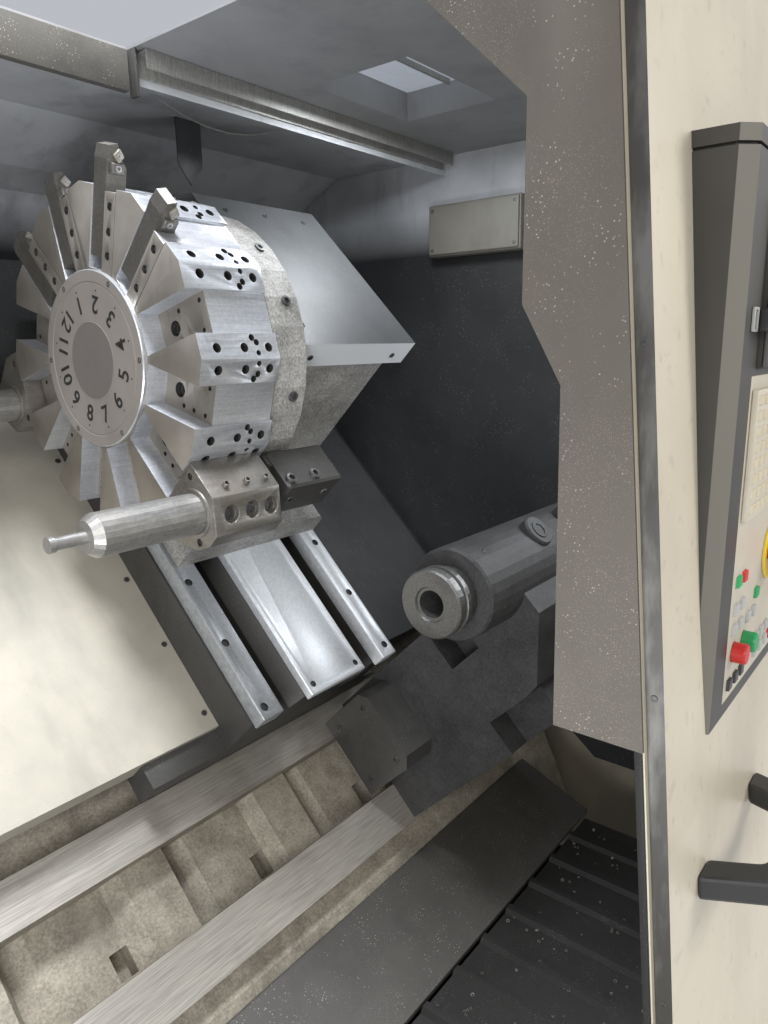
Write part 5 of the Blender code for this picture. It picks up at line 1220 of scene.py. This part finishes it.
# %% Lit push keys
PUSH_FACE = BOX_FACE - 0.0001
PUSH_SIZE = (0.0150, 0.0130, 0.0060)
GREY_SPOTS = [(0.792, 1.305), (0.816, 1.305), (0.850, 1.280), (0.874, 1.280), (0.792, 1.283),
               (0.816, 1.283)]
GREY_SPOTS += [(x, z) for z in (1.240, 1.222) for x in (0.900, 0.924, 0.948)]
BLACK_SPOTS = [(0.790, 1.222), (0.814, 1.222), (0.838, 1.222), (1.100, 1.300), (1.100, 1.270),
                (1.100, 1.240)]
for name, finish, spots in (("green_keys", START_GREEN, [(0.792, 1.335), (0.880, 1.300)]),
                            ("grey_keys", KEY_GREY, GREY_SPOTS),
                            ("red_keys", E_STOP_RED, [(0.816, 1.335), (0.972, 1.222)]),
                            ("black_keys", GRIP_BLACK, BLACK_SPOTS)):
    places = [facing(Vector((x, PUSH_FACE, z)), FRONT, ALONG, PUSH_SIZE) for x, z in spots]
    mount(set_down(key_cap(), places, name), finish, "door")

# %% Card slot, ring and dial marks
card_place = facing(Vector((0.7580, BOX_FACE, 1.595)), FRONT)
frame_piece("card_frame", 0.015, 0.022, 0.0025, 0.0030, card_place, KEY_GREY, "door")
cut_box("card_knob", (0.7720, BOX_FACE - 0.0290, 1.584), (0.7990, BOX_FACE - 0.0005, 1.606),
        GRIP_BLACK, "door", 0.003, 3)
ring_profile = [(0.0245, 0), (0.0345, 0), (0.0345, 0.0018), (0.0325, 0.0030), (0.0255, 0.0030),
                 (0.0245, 0.0022),
                (0.0245, 0)]
ring_place = facing(Vector((0.931, PUSH_FACE, 1.339)), FRONT)
mount(spin_profile("stop_ring", ring_profile, ring_place), RING_YELLOW, "door")
mark_places = []
for turned in range(-135, 136, 27):
    way = Vector((sin(radians(turned)), 0, cos(radians(turned))))
    spot = Vector((1.02, PUSH_FACE, 1.275)) + way * 0.0300
    mark_places.append(facing(spot, FRONT, way, (0.0055, 0.0011, 0.0004)))
mount(set_down(rounded_block(0.5, 0.08, 1), mark_places, "dial_marks"), GRIP_BLACK, "door")
pointer_place = facing(Vector((1.02, -0.9522, 1.284)), FRONT, ALONG, (0.0020, 0.0120, 0.0008))
mount(set_down(key_cap(), [pointer_place], "dial_pointer"), KEY_GREY, "feed_dial")

# %% [markdown]
# ## Outside, where the photograph doesn't look
# The covers carry what such a machine has there, kept plain: slotted vents over the electric
# cabinet, a service hatch with four latches on the headstock cover, and screws along the
# sheets. The slots are cut through the sheets, each with a hood folded inward behind it, and
# the screws are let in flush, so that nothing stands out of the imported size.

# %% Slots, hoods and flush screws
SHEET_DEEP = 0.0032
FLUSH_DEEP = 0.0022
REAR_FACE = 1.0200
SIDE_FACE = 1.9500


def vent_rows(middle, out, across, width, height, rows):
    """The slots of one vent and the hoods behind them, as two lists of places."""
    up_way = out.cross(across).normalized()
    if up_way.z < 0:
        up_way = -up_way
    pitch = height / rows
    fold = (out - up_way).normalized()
    slots, hoods = [], []
    for row in range(rows):
        at = middle + up_way * (pitch * (row - (rows - 1) / 2))
        slots.append(facing(at, out, across, (width, pitch * 0.42, 0.02)))
        lean = at + up_way * (pitch * 0.24) - (out + up_way) * (pitch * 0.22) - out * SHEET_DEEP
        hoods.append(facing(lean, fold, across, (width * 1.02, pitch * 0.62, 0.0012)))
    return slots, hoods


def finished_cover(node, vents, vent_size, spots, out, across):
    """A sheet with its vents cut, its hoods folded in behind and its screws let in flush."""
    sheet = taken_out(node, CREAM_SKIN)
    slots, hoods = [], []
    for middle in vents:
        more_slots, more_hoods = vent_rows(Vector(middle), out, across, *vent_size)
        slots += more_slots
        hoods += more_hoods
    carve(sheet, set_down(cutting_bar(1), slots, "slots"))
    mount(set_down(rounded_block(0, 0.04, 1), hoods, node + "_hoods"), OUTSIDE_TRIM, "machine")
    carve(sheet, set_down(drill(), heads(spots, out, 0.0075, FLUSH_DEEP, across), "counterbores"))
    seats = [Vector(spot) - out * (FLUSH_DEEP - 0.0002) for spot in spots]
    screws(node + "_screws", "machine", SCREW_STEEL, heads(seats, out, 0.0065, FLUSH_DEEP - 0.0006, across))
    print(node, "has", len(slots), "slots and", len(spots), "flush screws")


rear_vents = [(x, REAR_FACE, 1.55) for x in (-1.30, 1.10)]
rear_spots = [(x, REAR_FACE, z) for x in (-1.90, -1.26, -0.63, 0.0, 0.63, 1.26, 1.90)
              for z in (0.62, 1.10, 1.97)]
finished_cover("rear_cover", rear_vents, (0.50, 0.40, 11), rear_spots, BACKWARD, ALONG)
for side, node in ((-1, "left_cover"), (1, "right_cover")):
    side_spots = [(side * SIDE_FACE, y, z) for y in (-0.60, 0.10, 0.95) for z in (0.62, 1.10, 1.90)]
    finished_cover(node, [(side * SIDE_FACE, 0.35, 0.75)], (0.46, 0.34, 9), side_spots, ALONG * side,
                   BACKWARD)

# %% Service hatch on the headstock cover
def latch_knob():
    """A slotted quarter-turn latch of radius one."""
    bpy.ops.mesh.primitive_cylinder_add(vertices=24, radius=1, depth=0.6, location=(0, 0, 0.3))
    knob = ease(bpy.context.object, 0.12)
    bpy.ops.mesh.primitive_cube_add(size=1, location=(0, 0, 0.6), scale=(1.5, 0.22, 0.5))
    return carve(knob, bpy.context.object)


hatch_place = lean_place(-1.26, 1.42, 0.0002, (0.92, 0.80, 0.0030))
mount(set_down(rounded_block(0.5, 0.004), [hatch_place], "headstock_hatch"), OUTSIDE_TRIM, "machine")
latches = [lean_place(x, z, 0.0033, (0.016, 0.016, 0.012)) for x in (-1.67, -0.85) for z in (1.12, 1.72)]
mount(set_down(latch_knob(), latches, "hatch_latches"), SCREW_STEEL, "machine")

# %% [markdown]
# ## Light
# The shop's light comes from high on the left and behind the operator, through the doorway
# and the open roof. A small lamp under the roof glass and two soft ones inside the enclosure
# stand for the lit lamp and for light that the walls throw back, and one more lights the skin.

# %% Floor, world and lamps
def lamp(name, place, aim_at, size, power, colour=(1, 1, 1)):
    data = bpy.data.lights.new(name, "AREA")
    data.shape = "RECTANGLE"
    data.size, data.size_y = size
    data.energy = power
    data.color = colour
    made = bpy.data.objects.new(name, data)
    bpy.context.scene.collection.objects.link(made)
    made.visible_camera = False
    made.location = place
    made.rotation_euler = (Vector(aim_at) - Vector(place)).to_track_quat("-Z", "Y").to_euler()


bpy.ops.mesh.primitive_plane_add(size=40, location=(0, 0, -0.0005))
floor = bpy.context.object
floor.name = "floor"
floor_paint = Finish("floor_paint", 0.7)
floor_paint.set("Base Color", (0.75, 0.75, 0.75, 1))
coat(floor_paint, floor)

world = bpy.data.worlds.new("studio")
bpy.context.scene.world = world
world.use_nodes = True
sky = world.node_tree.nodes["Background"].inputs
sky["Color"].default_value = (0.9, 0.92, 1.0, 1)
sky["Strength"].default_value = 0.55
lamp("door_light", (-2.2, -3.0, 3.2), (0.5, -0.4, 1.1), (2.4, 1.6), 82, (1, 0.97, 0.91))
lamp("roof_light", (0.42, -0.45, 3.4), (0.42, -0.30, 1.0), (0.60, 0.50), 94, (0.93, 0.96, 1))
lamp("work_lamp", (1.19, -0.215, 2.012), (1.19, -0.215, 1.0), (0.24, 0.17), 3.5, (0.92, 0.96, 1))
lamp("window_light", (1.55, -0.68, 1.52), (0.95, -0.22, 1.00), (0.36, 0.36), 3.4, (0.93, 0.97, 1))
lamp("doorway_bounce", (-0.22, -0.80, 0.98), (1.00, 0.20, 2.00), (0.55, 0.35), 8.5, (0.97, 0.98, 1))
lamp("skin_light", (2.60, -3.20, 2.60), (1.20, -1.00, 1.50), (1.20, 1.20), 52, (1, 0.97, 0.90))
bpy.context.scene.view_settings.view_transform = "Standard"
